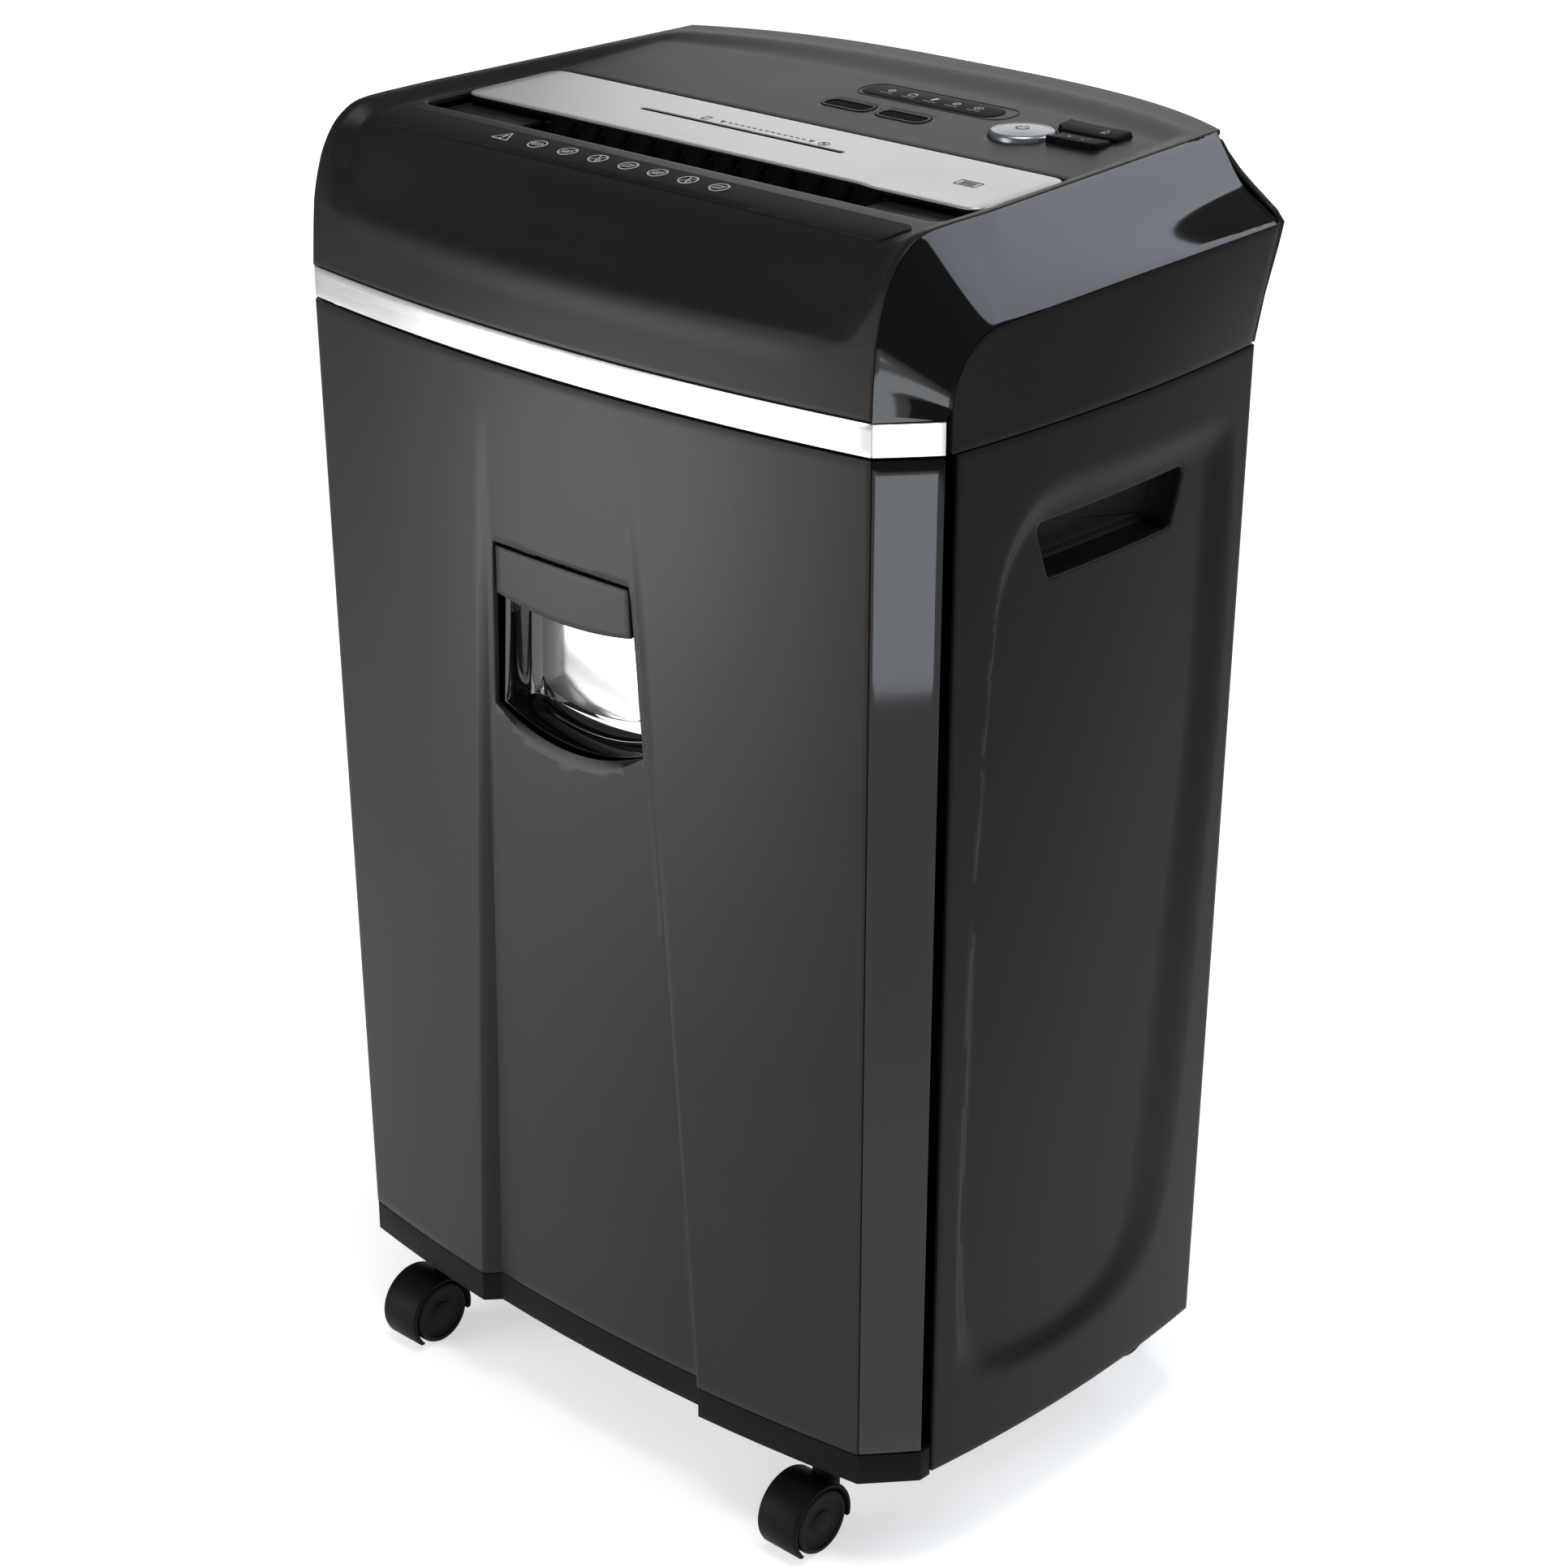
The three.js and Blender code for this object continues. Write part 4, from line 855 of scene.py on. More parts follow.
def makeCorners(name, low, high, finish, body, nodes):
    def surface(u, z):
        x = mix(frontHalf + gap / 2, chamferX, u)
        y = mix(frontY, chamferY, u) - cornerStrip["crown"] * 4 * u * (1 - u) + cornerStrip["crown"]
        return (x * taper(z), y * taper(z), z)

    strip = walled(bentGrid(name + "_right", steps(0, 1, cornerStrip["columns"]),
                            steps(low, high, cornerStrip["rows"]), surface, (1, -1, 0)),
                   cornerStrip["thickness"], cornerStrip["lip"])
    twin = mirroredCopy(strip, name + "_left")
    dressed(strip, finish, body, nodes + "_right")
    dressed(twin, finish, body, nodes + "_left")


headZ = seamZ + 16.2
makeCorners("bin_corner_strip", binBottomZ, binTop, "gloss", "bin", "bin_corner")
makeCorners("band_corner_strip", seamZ + gap, headZ - gap, "silver", "cabinet", "silver_band_corner")


def makeBand():
    def surface(x, z):
        return (x, frontLine(x), z)

    band = walled(bentGrid("band_front_strip", steps(-faceHalf, faceHalf, 48),
                           steps(seamZ + gap, headZ - gap, 4), surface, (0, -1, 0)), wall - 0.3, 0.5)
    dressed(band, "silver", "cabinet", "silver_band_front")


makeBand()
print("front made")


# Head: top cover with its hollow front and sunken deck

head = {
    "edgeSection": [(0, 16.6), (1.3, 34.7), (2.2, 44), (3, 50.6), (5.8, 62.2), (10.2, 73.5), (17, 83.5),
                    (25.1, 89.7), (34.1, 93), (48.8, 94)],
    "middleSection": [(0, 16.6), (1.2, 33), (2.6, 48.5), (9, 55), (15, 64), (20, 74), (24.5, 81.6),
                      (30, 86), (38, 87.9), (48.8, 88.7)],
    "stations": [-76, -50, -16, 16, 50, 76, 85, 98, 106],
    "deckRearHalf": 174, "slope": 0.0187, "rise": 94,
    "sunk": 5, "sunkRear": 2, "entryRear": 16, "sunkFrom": 85, "sunkTo": 98,
    "stepFrom": 0.925, "stepTo": 0.985,
}


def edgeHeight(y):
    return seamZ + head["rise"] + head["slope"] * (y - frontY - 48.8)


def middleHeight(y):
    share = clamp((y - head["entryRear"]) / (head["sunkFrom"] - head["entryRear"]))
    sunk = mix(head["sunk"], head["sunkRear"], share)
    return edgeHeight(y) - sunk * clamp((head["sunkTo"] - y) / (head["sunkTo"] - head["sunkFrom"]))


deckRows = [(y, edgeHeight(y)) for y in head["stations"] + [rearY]]
edgeLine = [(frontY + y, seamZ + z) for y, z in head["edgeSection"]] + deckRows
middleLine = [(frontY + y, seamZ + z) for y, z in head["middleSection"]] + [
    (y, middleHeight(y)) for y in head["stations"] + [rearY]]
lastStation = len(edgeLine) - 1


def deckHalf(y):
    return mix(frontHalf, head["deckRearHalf"], clamp((y + 60) / (rearY + 60)))


def deckShift(u, y):
    atFront = 1 - smooth(y, frontY + 10, frontY + 36)
    atRear = smooth(y, 20, rearY)
    return -frontBulge * (1 - u * u) * atFront + rearBulge * (1 - abs(u) ** 3) * atRear


def deckFace(u, t, inset=gap / 2):
    # the hollow narrows towards its foot, so its lower corners are round
    foot = (1 - clamp((t - 1.6) / 4.2)) ** 2
    share = 1 - smooth(abs(u), head["stepFrom"] - 0.2 * foot, head["stepTo"] - 0.1 * foot)
    edgeY, edgeZ = through(edgeLine, t)
    middleY, middleZ = through(middleLine, t)
    y, z = mix(edgeY, middleY, share), mix(edgeZ, middleZ, share)
    return (u * (deckHalf(y) - inset), y + deckShift(u, y), z)


def deckAt(x, y):
    # height of the deck
    low, high = 0.0, float(lastStation)
    u = clamp(x / deckHalf(y), -1, 1)
    for _ in range(26):
        t = (low + high) / 2
        if deckFace(u, t)[1] < y:
            low = t
        else:
            high = t
    return deckFace(u, high)[2]


def onDeck(point, height):
    return (point[0], point[1], deckAt(*point) + height)


entry = {"half": 169, "front": -76, "rear": head["entryRear"], "corner": 9, "lip": 1.2, "ledge": 5}
power = {"x": 100, "y": 62.5, "radius": 16, "rise": 3}
keys = {"x": 127, "halfX": 19, "halfY": 7.4, "reverseY": 81.5, "forwardY": 65.5, "corner": 3, "lift": 2}
vents = {"places": (-1, 34.5), "y": 52, "halfX": 15, "halfY": 6.2}
indicator = {"x": 27, "y": 82.5, "halfX": 43, "halfY": 9.5}


def keyOutline(y, grow):
    # a wedge key, cut round beside the power button
    clear = power["radius"] + gap + 1.5 + gap - grow
    left, right = keys["x"] - keys["halfX"] - grow, keys["x"] + keys["halfX"] + grow
    low, high = y - keys["halfY"] - grow, y + keys["halfY"] + grow

    def startOf(atY):
        reach = clear ** 2 - (atY - power["y"]) ** 2
        return max(left, power["x"] + math.sqrt(reach)) if reach > 0 else left

    outline = []
    for atY in steps(high, low, 10):
        outline.append((startOf(atY), atY))
    corner = keys["corner"]
    for cx, cy, from_ in ((right - corner, low + corner, -90), (right - corner, high - corner, 0)):
        for angle in steps(from_, from_ + 90, 5):
            a = math.radians(angle)
            outline.append((cx + corner * math.cos(a), cy + corner * math.sin(a)))
    return outline


def makeTopCover():
    half = sorted(set(steps(0, 0.7, 26) + steps(0.7, 1.0, 34)))
    columns = [-u for u in reversed(half[1:])] + half
    rows = sorted(set(steps(0, 10, 70) + steps(10, 15, 30) + steps(15, lastStation, 32)))
    cover = bentGrid("head_top_shell", columns, rows, deckFace, (0, -0.3, 1))
    walled(cover, wall - 0.2, 0.6)
    deep = wall + 9
    hole = evenly(oblong(0, (entry["front"] + entry["rear"]) / 2, entry["half"],
                         (entry["rear"] - entry["front"]) / 2, entry["corner"]), 8)
    carved(cover, lipCutter("entry_cutter", hole, entry["lip"], deep, onDeck))
    circle = roundOutline(power["x"], power["y"], power["radius"] + gap)
    carved(cover, lipCutter("power_cutter", circle, 0.7, deep, onDeck))
    for y in (keys["reverseY"], keys["forwardY"]):
        carved(cover, lipCutter("key_cutter", keyOutline(y, gap), 0.5, deep, onDeck))
    for x in vents["places"]:
        shape = oblong(x, vents["y"], vents["halfX"] + gap, vents["halfY"] + gap, vents["halfY"], 8)
        carved(cover, lipCutter("vent_cutter", shape, 0.6, deep, onDeck))
    smoothed(cover)
    dressed(cover, "charcoal", "cabinet", "head_top_cover")


makeTopCover()
print("top cover made")


# Head: side covers, gloss trim and rear cover

flank = {"flareFront": 0.5, "flareHalf": 213.4, "flareRise": 9, "edgeZ": 52, "arc": 32, "hollow": 5}
coverFrom = sideFrontY - 4
coverRearY = rearY - wall - gap


def trimEdge(y):
    low = seamZ + flank["edgeZ"] - flank["arc"]
    if y < coverFrom + flank["arc"]:
        return low + math.sqrt(max(0, flank["arc"] ** 2 - (coverFrom + flank["arc"] - y) ** 2))
    start = coverFrom + flank["arc"]
    return seamZ + flank["edgeZ"] + flank["flareRise"] * (y - start) / (rearY - start)


def flankX(y, z):
    along = clamp((y - chamferY) / (rearY - chamferY))
    flare = mix(chamferX + flank["flareFront"], flank["flareHalf"], along)
    up = clamp((z - seamZ) / (flank["edgeZ"] + flank["flareRise"] * along))
    return mix(sideLine(y), flare, up)


def makeSideCover():
    arc = flank["arc"]
    bend = [coverFrom + arc * (1 - math.cos(angle)) for angle in steps(0, math.pi / 2, 18)]
    columns = bend + steps(coverFrom + arc, coverRearY, 40)[1:]

    def surface(y, share):
        z = mix(seamZ + gap, trimEdge(y) - gap / 2, share)
        return (flankX(y, z), y, z)

    rows = steps(0, 1, 16)
    cover = walled(bentGrid("head_side_shell_right", columns, rows, surface, (1, 0, 0)), wall - 0.4, 0.5)
    twin = mirroredCopy(cover, "head_side_shell_left")
    dressed(cover, "dark", "cabinet", "head_side_cover_right")
    dressed(twin, "dark", "cabinet", "head_side_cover_left")


makeSideCover()


def trimOuter(t):
    start, bend = coverFrom - gap, len(head["edgeSection"])
    foot = (chamferX, chamferY, headZ + gap)
    if t <= bend:
        angle = math.pi / 2 * max(0, t - 1) / (bend - 1)
        y = start + flank["arc"] * (1 - math.cos(angle))
        z = seamZ + flank["edgeZ"] - flank["arc"] * (1 - math.sin(angle)) + gap / 2
        if t < 1:
            top = (flankX(y, z), y, z)
            return tuple(mix(a, b, t) for a, b in zip(foot, top))
        return (flankX(y, z), y, z)
    y = min(through(edgeLine, t)[0], coverRearY)
    z = trimEdge(y) + gap / 2
    return (flankX(y, z), y, z)


def sectionNormal(t):
    y0, z0 = through(edgeLine, max(0, t - 0.5))
    y1, z1 = through(edgeLine, min(lastStation, t + 0.5))
    length = math.hypot(y1 - y0, z1 - z0)
    return (-(z1 - z0) / length, (y1 - y0) / length)


def trimFace(u, t):
    edgeY, edgeZ = through(edgeLine, t)
    inner = Vector((deckHalf(edgeY) + gap / 2, min(edgeY, coverRearY), edgeZ - gap))
    point = inner.lerp(Vector(trimOuter(t)), u)
    ny, nz = sectionNormal(t)
    normal = Vector((0, ny, nz)).lerp(Vector((1, 0, 0)), u).normalized()
    hollow = flank["hollow"] * smooth(edgeY, frontY + 20, rearY) * 4 * u * (1 - u)
    return point - normal * hollow


def makeTrim():
    rows = sorted(set(steps(0, 10, 60) + steps(10, lastStation, 54)))
    trim = walled(bentGrid("gloss_trim_shell_right", steps(0, 1, 18), rows, trimFace, (0.6, -0.3, 0.7)),
                  wall - 0.4, 0.5)
    twin = mirroredCopy(trim, "gloss_trim_shell_left")
    dressed(trim, "gloss", "cabinet", "gloss_trim_right")
    dressed(twin, "gloss", "cabinet", "gloss_trim_left")


makeTrim()

rearCover = {"section": [(0.4, 200), (25, 204.7), (50, 211), (61, 213.4), (66, 209), (76, 194.3),
                         (81.5, 186.9), (88.5, 179.4), (93.4, 175.5)]}
inlet = {"x": -60, "z": seamZ + 30, "radius": 8}
rocker = {"x": 60, "z": seamZ + 30, "halfX": 8, "halfZ": 13}


def rearPoint(x, z, outwards=0.0):
    return (x, rearLine(x, flank["flareHalf"]) + outwards, z)


def makeRearCover():
    section = rearCover["section"]

    def surface(u, t):
        # straight between the stations, as the sides are
        i = min(int(t), len(section) - 2)
        height, half = (mix(a, b, t - i) for a, b in zip(section[i], section[i + 1]))
        return (u * half, rearLine(u * half, half), seamZ + height)

    rows = steps(0, len(section) - 1, 40)
    cover = walled(bentGrid("head_rear_shell", steps(-1, 1, 60), rows, surface, (0, 1, 0)), wall - 0.4, 0.5)
    hole = roundOutline(inlet["x"], inlet["z"], inlet["radius"] + gap, 32)
    carved(cover, lipCutter("inlet_cutter", hole, 0.5, 8, lambda p, h: rearPoint(p[0], p[1], h)))
    frameHole = oblong(rocker["x"], rocker["z"], rocker["halfX"] + gap, rocker["halfZ"] + gap, 1.2, 4)
    carved(cover, lipCutter("rocker_cutter", frameHole, 0.5, 8, lambda p, h: rearPoint(p[0], p[1], h)))
    smoothed(cover)
    dressed(cover, "charcoal", "cabinet", "head_rear_cover")


makeRearCover()
print("head casings made")


def flatMark(name, outline, hole, place, thickness=0.14):
    # a flat raised shape from an outline, or a band between two outlines
    if hole:
        walk = ((outline, 0), (outline, thickness), (hole, thickness), (hole, 0), (outline, 0))
        return lofted(name, [[place(p, h) for p in ring] for ring, h in walk])
    return stacked(name, [[place(p, h) for p in outline] for h in (0, thickness)])


# Paper entry: ledge, throat with its guide ribs, plate with its card slot

throat = {"half": 113, "y": -55, "width": 20, "ribs": 12, "wall": 2.4}
ledgeZ = deckAt(0, entry["front"]) - entry["ledge"]
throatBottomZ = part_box("throat_liner")[0].z / mm
plate = {"front": -49, "skin": 1, "under": 2.6, "corner": 10, "edge": 0.8,
         "cardFrom": -77, "cardTo": 57, "cardY": -15, "cardWidth": 3.2}
cardSlot = oblong((plate["cardFrom"] + plate["cardTo"]) / 2, plate["cardY"],
                  (plate["cardTo"] - plate["cardFrom"]) / 2, plate["cardWidth"] / 2, plate["cardWidth"] / 2, 4)


def plateTop(x, y):
    # the plate keeps level with the sunken deck; a low wave crosses it near its right end
    wave = 0.7 * smooth(x + 0.35 * (y + 17), 84, 96) * (1 - smooth(y, -40, 8))
    return middleHeight(y) + 0.5 - wave


def onPlate(point, height):
    return (point[0], point[1], plateTop(*point) + height)


def cardCutter(name):
    return lipCutter(name, evenly(cardSlot, 10), 0.4, 30, onPlate)


def makeLiner():
    outline = oblong(0, (entry["front"] + entry["rear"]) / 2, entry["half"] - gap,
                     (entry["rear"] - entry["front"]) / 2 - gap, entry["corner"])
    under = ledgeZ - 3.5
    rings = [[(x, y, z) for x, y in spread(outline, grow)]
             for grow, z in ((-0.4, under), (0, under + 0.4), (0, ledgeZ - 0.6), (-0.2, ledgeZ - 0.2),
                             (-0.6, ledgeZ))]
    ledge = stacked("throat_ledge", rings)

    def chute(grow, high, low):
        half = throat["half"] + grow
        return [[(x, y, z) for x, y in oblong(0, throat["y"], half, depth + grow, 1.2, 2)]
                for depth, z in ((throat["width"] / 2, high), (throat["width"] / 4, low))]

    funnel = stacked("throat_funnel", chute(throat["wall"], ledgeZ - 1, throatBottomZ))
    applied(ledge, "BOOLEAN", object=funnel, operation="UNION", solver="EXACT")
    bpy.data.objects.remove(funnel)
    mouth = oblong(0, throat["y"], throat["half"], throat["width"] / 2, 2, 4)
    high = [[(x, y, z) for x, y in spread(mouth, grow)]
            for grow, z in ((1.6, ledgeZ + 1), (0.8, ledgeZ), (0.25, ledgeZ - 0.35), (0, ledgeZ - 1.2))]
    low = [[(x, throat["y"] + (y - throat["y"]) * 0.5, throatBottomZ - 1) for x, y in mouth]]
    carved(ledge, stacked("throat_cutter", high + low))
    carved(ledge, cardCutter("card_cutter"))
    smoothed(ledge)
    dressed(ledge, "charcoal", "cabinet", "throat_liner")
    # a black sleeve lies on the throat's walls, painted shade that makes the deep throat darker than the liner,
    # with guide tongues down its rear wall
    shadeLining = flatMark("throat_shade_lining", spread(mouth, -0.1), spread(mouth, -0.9),
                      lambda p, h: (p[0], throat["y"] + (p[1] - throat["y"]) * (0.55 if h else 1.0),
                                    throatBottomZ + 2 if h else ledgeZ - 1.4), 1)
    dressed(shadeLining, "black", "cabinet")
    # guide tongues hang from under the plate down the rear wall
    tongues = []
    pitch = 2 * (throat["half"] - 4) / throat["ribs"]
    front = throat["y"] + throat["width"] / 2
    for i in range(throat["ribs"]):
        x = -throat["half"] + 4 + (i + 0.5) * pitch
        top = plateTop(x, front) - plate["under"] - 0.1
        rings = []
        for t in steps(0, 1, 10):
            half, stand = pitch * mix(0.49, 0.1, t ** 0.75), mix(1.2, 2.6, t)
            wallY = front - 0.9 - 4.5 * t ** 1.5
            rings.append([(x - half, wallY, top - 24 * t), (x - half * 0.6, wallY - stand, top - 24 * t),
                          (x + half * 0.6, wallY - stand, top - 24 * t), (x + half, wallY, top - 24 * t)])
        tongues.append(stacked("tongue", rings))
    dressed(smoothed(joined("throat_tongues", *tongues), 30), "charcoal", "cabinet")


def makePlate():
    rear, under = entry["rear"] - 3 * gap, plate["under"]
    shape = evenly(oblong(0, (plate["front"] + rear) / 2, entry["half"] - 3 * gap, (rear - plate["front"]) / 2,
                          plate["corner"], 8), 5)
    edge = plate["edge"]
    profile = [(-0.25, -plate["skin"] - 0.1), (0, 0.1 - plate["skin"])]
    for angle in steps(0, 80, 5):
        a = math.radians(angle)
        profile.append((-edge * (1 - math.cos(a)), -edge + edge * math.sin(a)))
    body = stacked("throat_plate_cover", [[onPlate(p, h) for p in spread(shape, grow)] for grow, h in profile])
    # the flat top and underside are divided so that they can carry the wave
    divided(body, ((1, 0, 0), steps(-160, 160, 64)), ((0, 1, 0), steps(-46, 12, 14)))
    for sign, depth in ((1, 0), (-1, plate["skin"] + 0.1)):
        level = {index for face in body.data.polygons if face.normal.z * sign > 0.9 for index in face.vertices}
        for index in level:
            place = body.data.vertices[index].co
            x, y = place.x / mm, place.y / mm
            if abs(x) < entry["half"] - 3 and plate["front"] + 2.5 < y < rear - 2:
                place.z = (plateTop(x, y) - depth) * mm
    carved(body, cardCutter("card_cutter"))
    smoothed(body, 30)
    dressed(body, "satin", "cabinet", "throat_plate")
    # the dark rim under the skin, and the bed that carries both
    rim = stacked("plate_rim", [[onPlate(p, -depth) for p in spread(shape, grow)] for grow, depth
                                in ((-0.6, under), (-0.15, under - 0.5), (-0.15, plate["skin"]))])
    carved(rim, cardCutter("card_cutter"))
    dressed(smoothed(rim, 30), "charcoal", "cabinet")
    front, low = throat["y"] + throat["width"] / 2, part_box("throat_plate")[0].z / mm
    bedShape = evenly(oblong(0, (front + rear) / 2, entry["half"] - 5, (rear - front) / 2 - 1, 2), 6)
    bed = stacked("plate_bed", [[(x, y, low) for x, y in bedShape],
                                [onPlate(p, 0.2 - under) for p in bedShape]])
    carved(bed, cardCutter("card_cutter"))
    dressed(smoothed(bed, 30), "black", "cabinet")
    # a black lining down the card slot's walls: painted shade in the slot
    shadeLining = flatMark("card_slot_shade_lining", spread(cardSlot, -0.05), spread(cardSlot, -0.4),
                      lambda p, h: onPlate(p, -0.45 if h else -9), 1)
    dressed(shadeLining, "black", "cabinet")


makeLiner()
makePlate()
print("paper entry made")


# Printed marks: flat shapes a hair above what they lie on

def barOutline(x, y, length, width, degrees):
    a = math.radians(degrees)
    along, across = Vector((math.cos(a), math.sin(a))), Vector((-math.sin(a), math.cos(a)))
    corners = [(-1, -1), (1, -1), (1, 1), (-1, 1)]
    return [(x + along.x * i * length / 2 + across.x * j * width / 2,
             y + along.y * i * length / 2 + across.y * j * width / 2) for i, j in corners]


def polygonOutline(x, y, radius, sides, turn=0):
    return [(x + radius * math.cos(math.radians(turn) + 2 * math.pi * i / sides),
             y + radius * math.sin(math.radians(turn) + 2 * math.pi * i / sides)) for i in range(sides)]


def slantedBox(x, y, halfX, halfY, lean=0.0):
    return [(x - halfX - lean * halfY, y - halfY), (x + halfX - lean * halfY, y - halfY),
            (x + halfX + lean * halfY, y + halfY), (x - halfX + lean * halfY, y + halfY)]


def bandOf(outline, width):
    return outline, spread(outline, -width)


# Icon strip in front of the entry

iconStrip = {"half": 168, "front": -108, "rear": -86, "lift": 0.75, "thickness": 0.75,
             "ringRadius": 5.0, "ringWidth": 0.6, "iconY": -95.5, "triangleX": -87,
             "ringPlaces": (-64.3, -43.7, -23.3, -3.2, 16, 35.5, 55.2)}


def stripAt(point, height):
    return (point[0], point[1], deckAt(*point) + iconStrip["lift"] + height)


def makeIconStrip():
    s = iconStrip
    corners = [(-s["half"] + 3, s["front"]), (s["half"] - 4, s["front"]), (s["half"] - 1, s["rear"] - 1.5),
               (-s["half"], s["rear"])]
    shape = evenly(roundedOutline(corners, (9, 6, 7, 8), 6), 4)
    strip = stacked("icon_strip_bar", [[stripAt(p, height) for p in spread(shape, grow)] for grow, height
                                       in ((0, -s["thickness"]), (0, -0.25), (-0.25, 0))])
    divided(strip, ((0, 1, 0), steps(s["front"] + 1, s["rear"] - 1, 12)), ((1, 0, 0), steps(-160, 160, 40)))
    for vertex in strip.data.vertices:
        x, y, z = (value / mm for value in vertex.co)
        if z > deckAt(x, y) + s["lift"] - s["thickness"] / 2:
            vertex.co.z = stripAt((x, y), 0)[2] * mm
        else:
            vertex.co.z = stripAt((x, y), -s["thickness"])[2] * mm
    smoothed(strip, 30)
    dressed(strip, "strip", "cabinet", "icon_strip")
    marks = []
    y, r, w = s["iconY"], s["ringRadius"], s["ringWidth"]
    outer = roundedOutline(polygonOutline(s["triangleX"], y - 0.8, 6.6, 3, 90), 0.8, 3)
    marks.append(flatMark("mark", *bandOf(outer, w), stripAt))
    marks.append(flatMark("mark", barOutline(s["triangleX"], y + 0.3, 3.6, 1.0, 90), None, stripAt))
    marks.append(flatMark("mark", polygonOutline(s["triangleX"], y - 2.9, 0.6, 10), None, stripAt))
    for i, x in enumerate(s["ringPlaces"]):
        marks.append(flatMark("mark", *bandOf(roundOutline(x, y, r, 40), w), stripAt))
        marks.append(flatMark("mark", barOutline(x, y, 2 * r - w, 0.5, 45 if i else 0), None, stripAt))
        if i % 3 == 0:
            marks.append(flatMark("mark", *bandOf(slantedBox(x - 0.2, y, 2.6, 1.8), 0.4), stripAt))
        elif i % 3 == 1:
            marks.append(flatMark("mark", *bandOf(oblong(x, y, 3.0, 1.1, 1.0, 4), 0.4), stripAt))
            marks.append(flatMark("mark", barOutline(x, y - 2, 3.4, 0.4, 0), None, stripAt))
        else:
            marks.append(flatMark("mark", barOutline(x, y, 2 * r - 2, 0.5, 110), None, stripAt))
            marks.append(flatMark("mark", *bandOf(roundOutline(x + 1.6, y - 1.8, 1.3, 14), 0.35), stripAt))
    dressed(joined("icon_strip_marks", *marks), "marks", "cabinet")


makeIconStrip()


# Marks on the plate

def makePlateMarks():
    y = plate["cardY"] + 6.2
    parts = [flatMark("mark", *bandOf(slantedBox(-38, y, 1.9, 2.6), 0.45), onPlate),
             flatMark("mark", polygonOutline(-27, y, 1.9, 3, -90), None, onPlate),
             flatMark("mark", polygonOutline(31, y, 1.9, 3, -90), None, onPlate),
             flatMark("mark", *bandOf(roundOutline(39, y, 2.9, 28), 0.4), onPlate),
             flatMark("mark", *bandOf(roundOutline(39, y, 1.0, 16), 0.35), onPlate)]
    # a row of short dashes between the arrows
    for x in steps(-22, 26, 12):
        parts.append(flatMark("mark", barOutline(x, y, 2.2, 0.7, 0), None, onPlate))
    parts.append(flatMark("mark", *bandOf(slantedBox(136, -18, 6.4, 3.6), 0.6), onPlate))
    for offset in (-1.6, 0, 1.6):
        parts.append(flatMark("mark", barOutline(136, -18 + offset, 8.4, 0.6, 0), None, onPlate))
    dressed(joined("plate_marks", *parts), "darkMarks", "cabinet")


makePlateMarks()


# Indicator bar with the groove round it

def makeIndicator():
    d = indicator
    shape = oblong(d["x"], d["y"], d["halfX"], d["halfY"] - 1.2, d["halfY"] - 1.2, 10)
    base = -0.9
    rings = [[onDeck(p, h) for p in spread(shape, grow)]
             for grow, h in ((0, base), (0, 0.15), (-0.25, 0.42), (-0.8, 0.55))]
    bar = smoothed(stacked("indicator_lens", rings), 30)
    dressed(bar, "lens", "cabinet", "indicator_bar")
    parts = []
    lens = lambda point, height: onDeck(point, 0.55 + height)
    for i, x in enumerate(steps(d["x"] - 28, d["x"] + 28, 4)):
        y = d["y"] + 1.2
        if i in (0, 3):
            parts.append(flatMark("mark", *bandOf(roundOutline(x, y, 2.1, 20), 0.45), lens))
            parts.append(flatMark("mark", barOutline(x, y, 2.6, 0.5, 60), None, lens))
        elif i == 1:
            parts.append(flatMark("mark", *bandOf(slantedBox(x, y - 0.4, 2.3, 1.7), 0.5), lens))
            parts.append(flatMark("mark", barOutline(x, y + 2, 2.6, 0.6, 0), None, lens))
        elif i == 2:
            parts.append(flatMark("mark", slantedBox(x, y, 1.0, 2.0, 0.3), None, lens))
        else:
            parts.append(flatMark("mark", *bandOf(roundOutline(x, y, 2.4, 20), 0.4), lens))
            parts.append(flatMark("mark", polygonOutline(x, y, 1.0, 3, 90), None, lens))
        parts.append(flatMark("mark", barOutline(x, y - 4.6, 8.0, 0.3, 0), None, lens))
    dressed(joined("indicator_marks", *parts), "marks", "cabinet")
    # the raised hairline round the bar that runs on to the power button
    line = oblong(d["x"] + 2, d["y"] + 0.6, d["halfX"] + 5, d["halfY"] + 1.6, d["halfY"] + 1.6, 12)
    line = [p for p in line if (p[0] - power["x"]) ** 2 + (p[1] - power["y"]) ** 2 > (power["radius"] + 3) ** 2]
    ridge = flatMark("indicator_hairline", *bandOf(evenly(line, 8), 0.5), onDeck, 0.25)
    dressed(ridge, "dark", "cabinet")


makeIndicator()


# Vent grilles

ventMesh = {"cell": 1.9, "bar": 0.7, "sunk": 0.5}


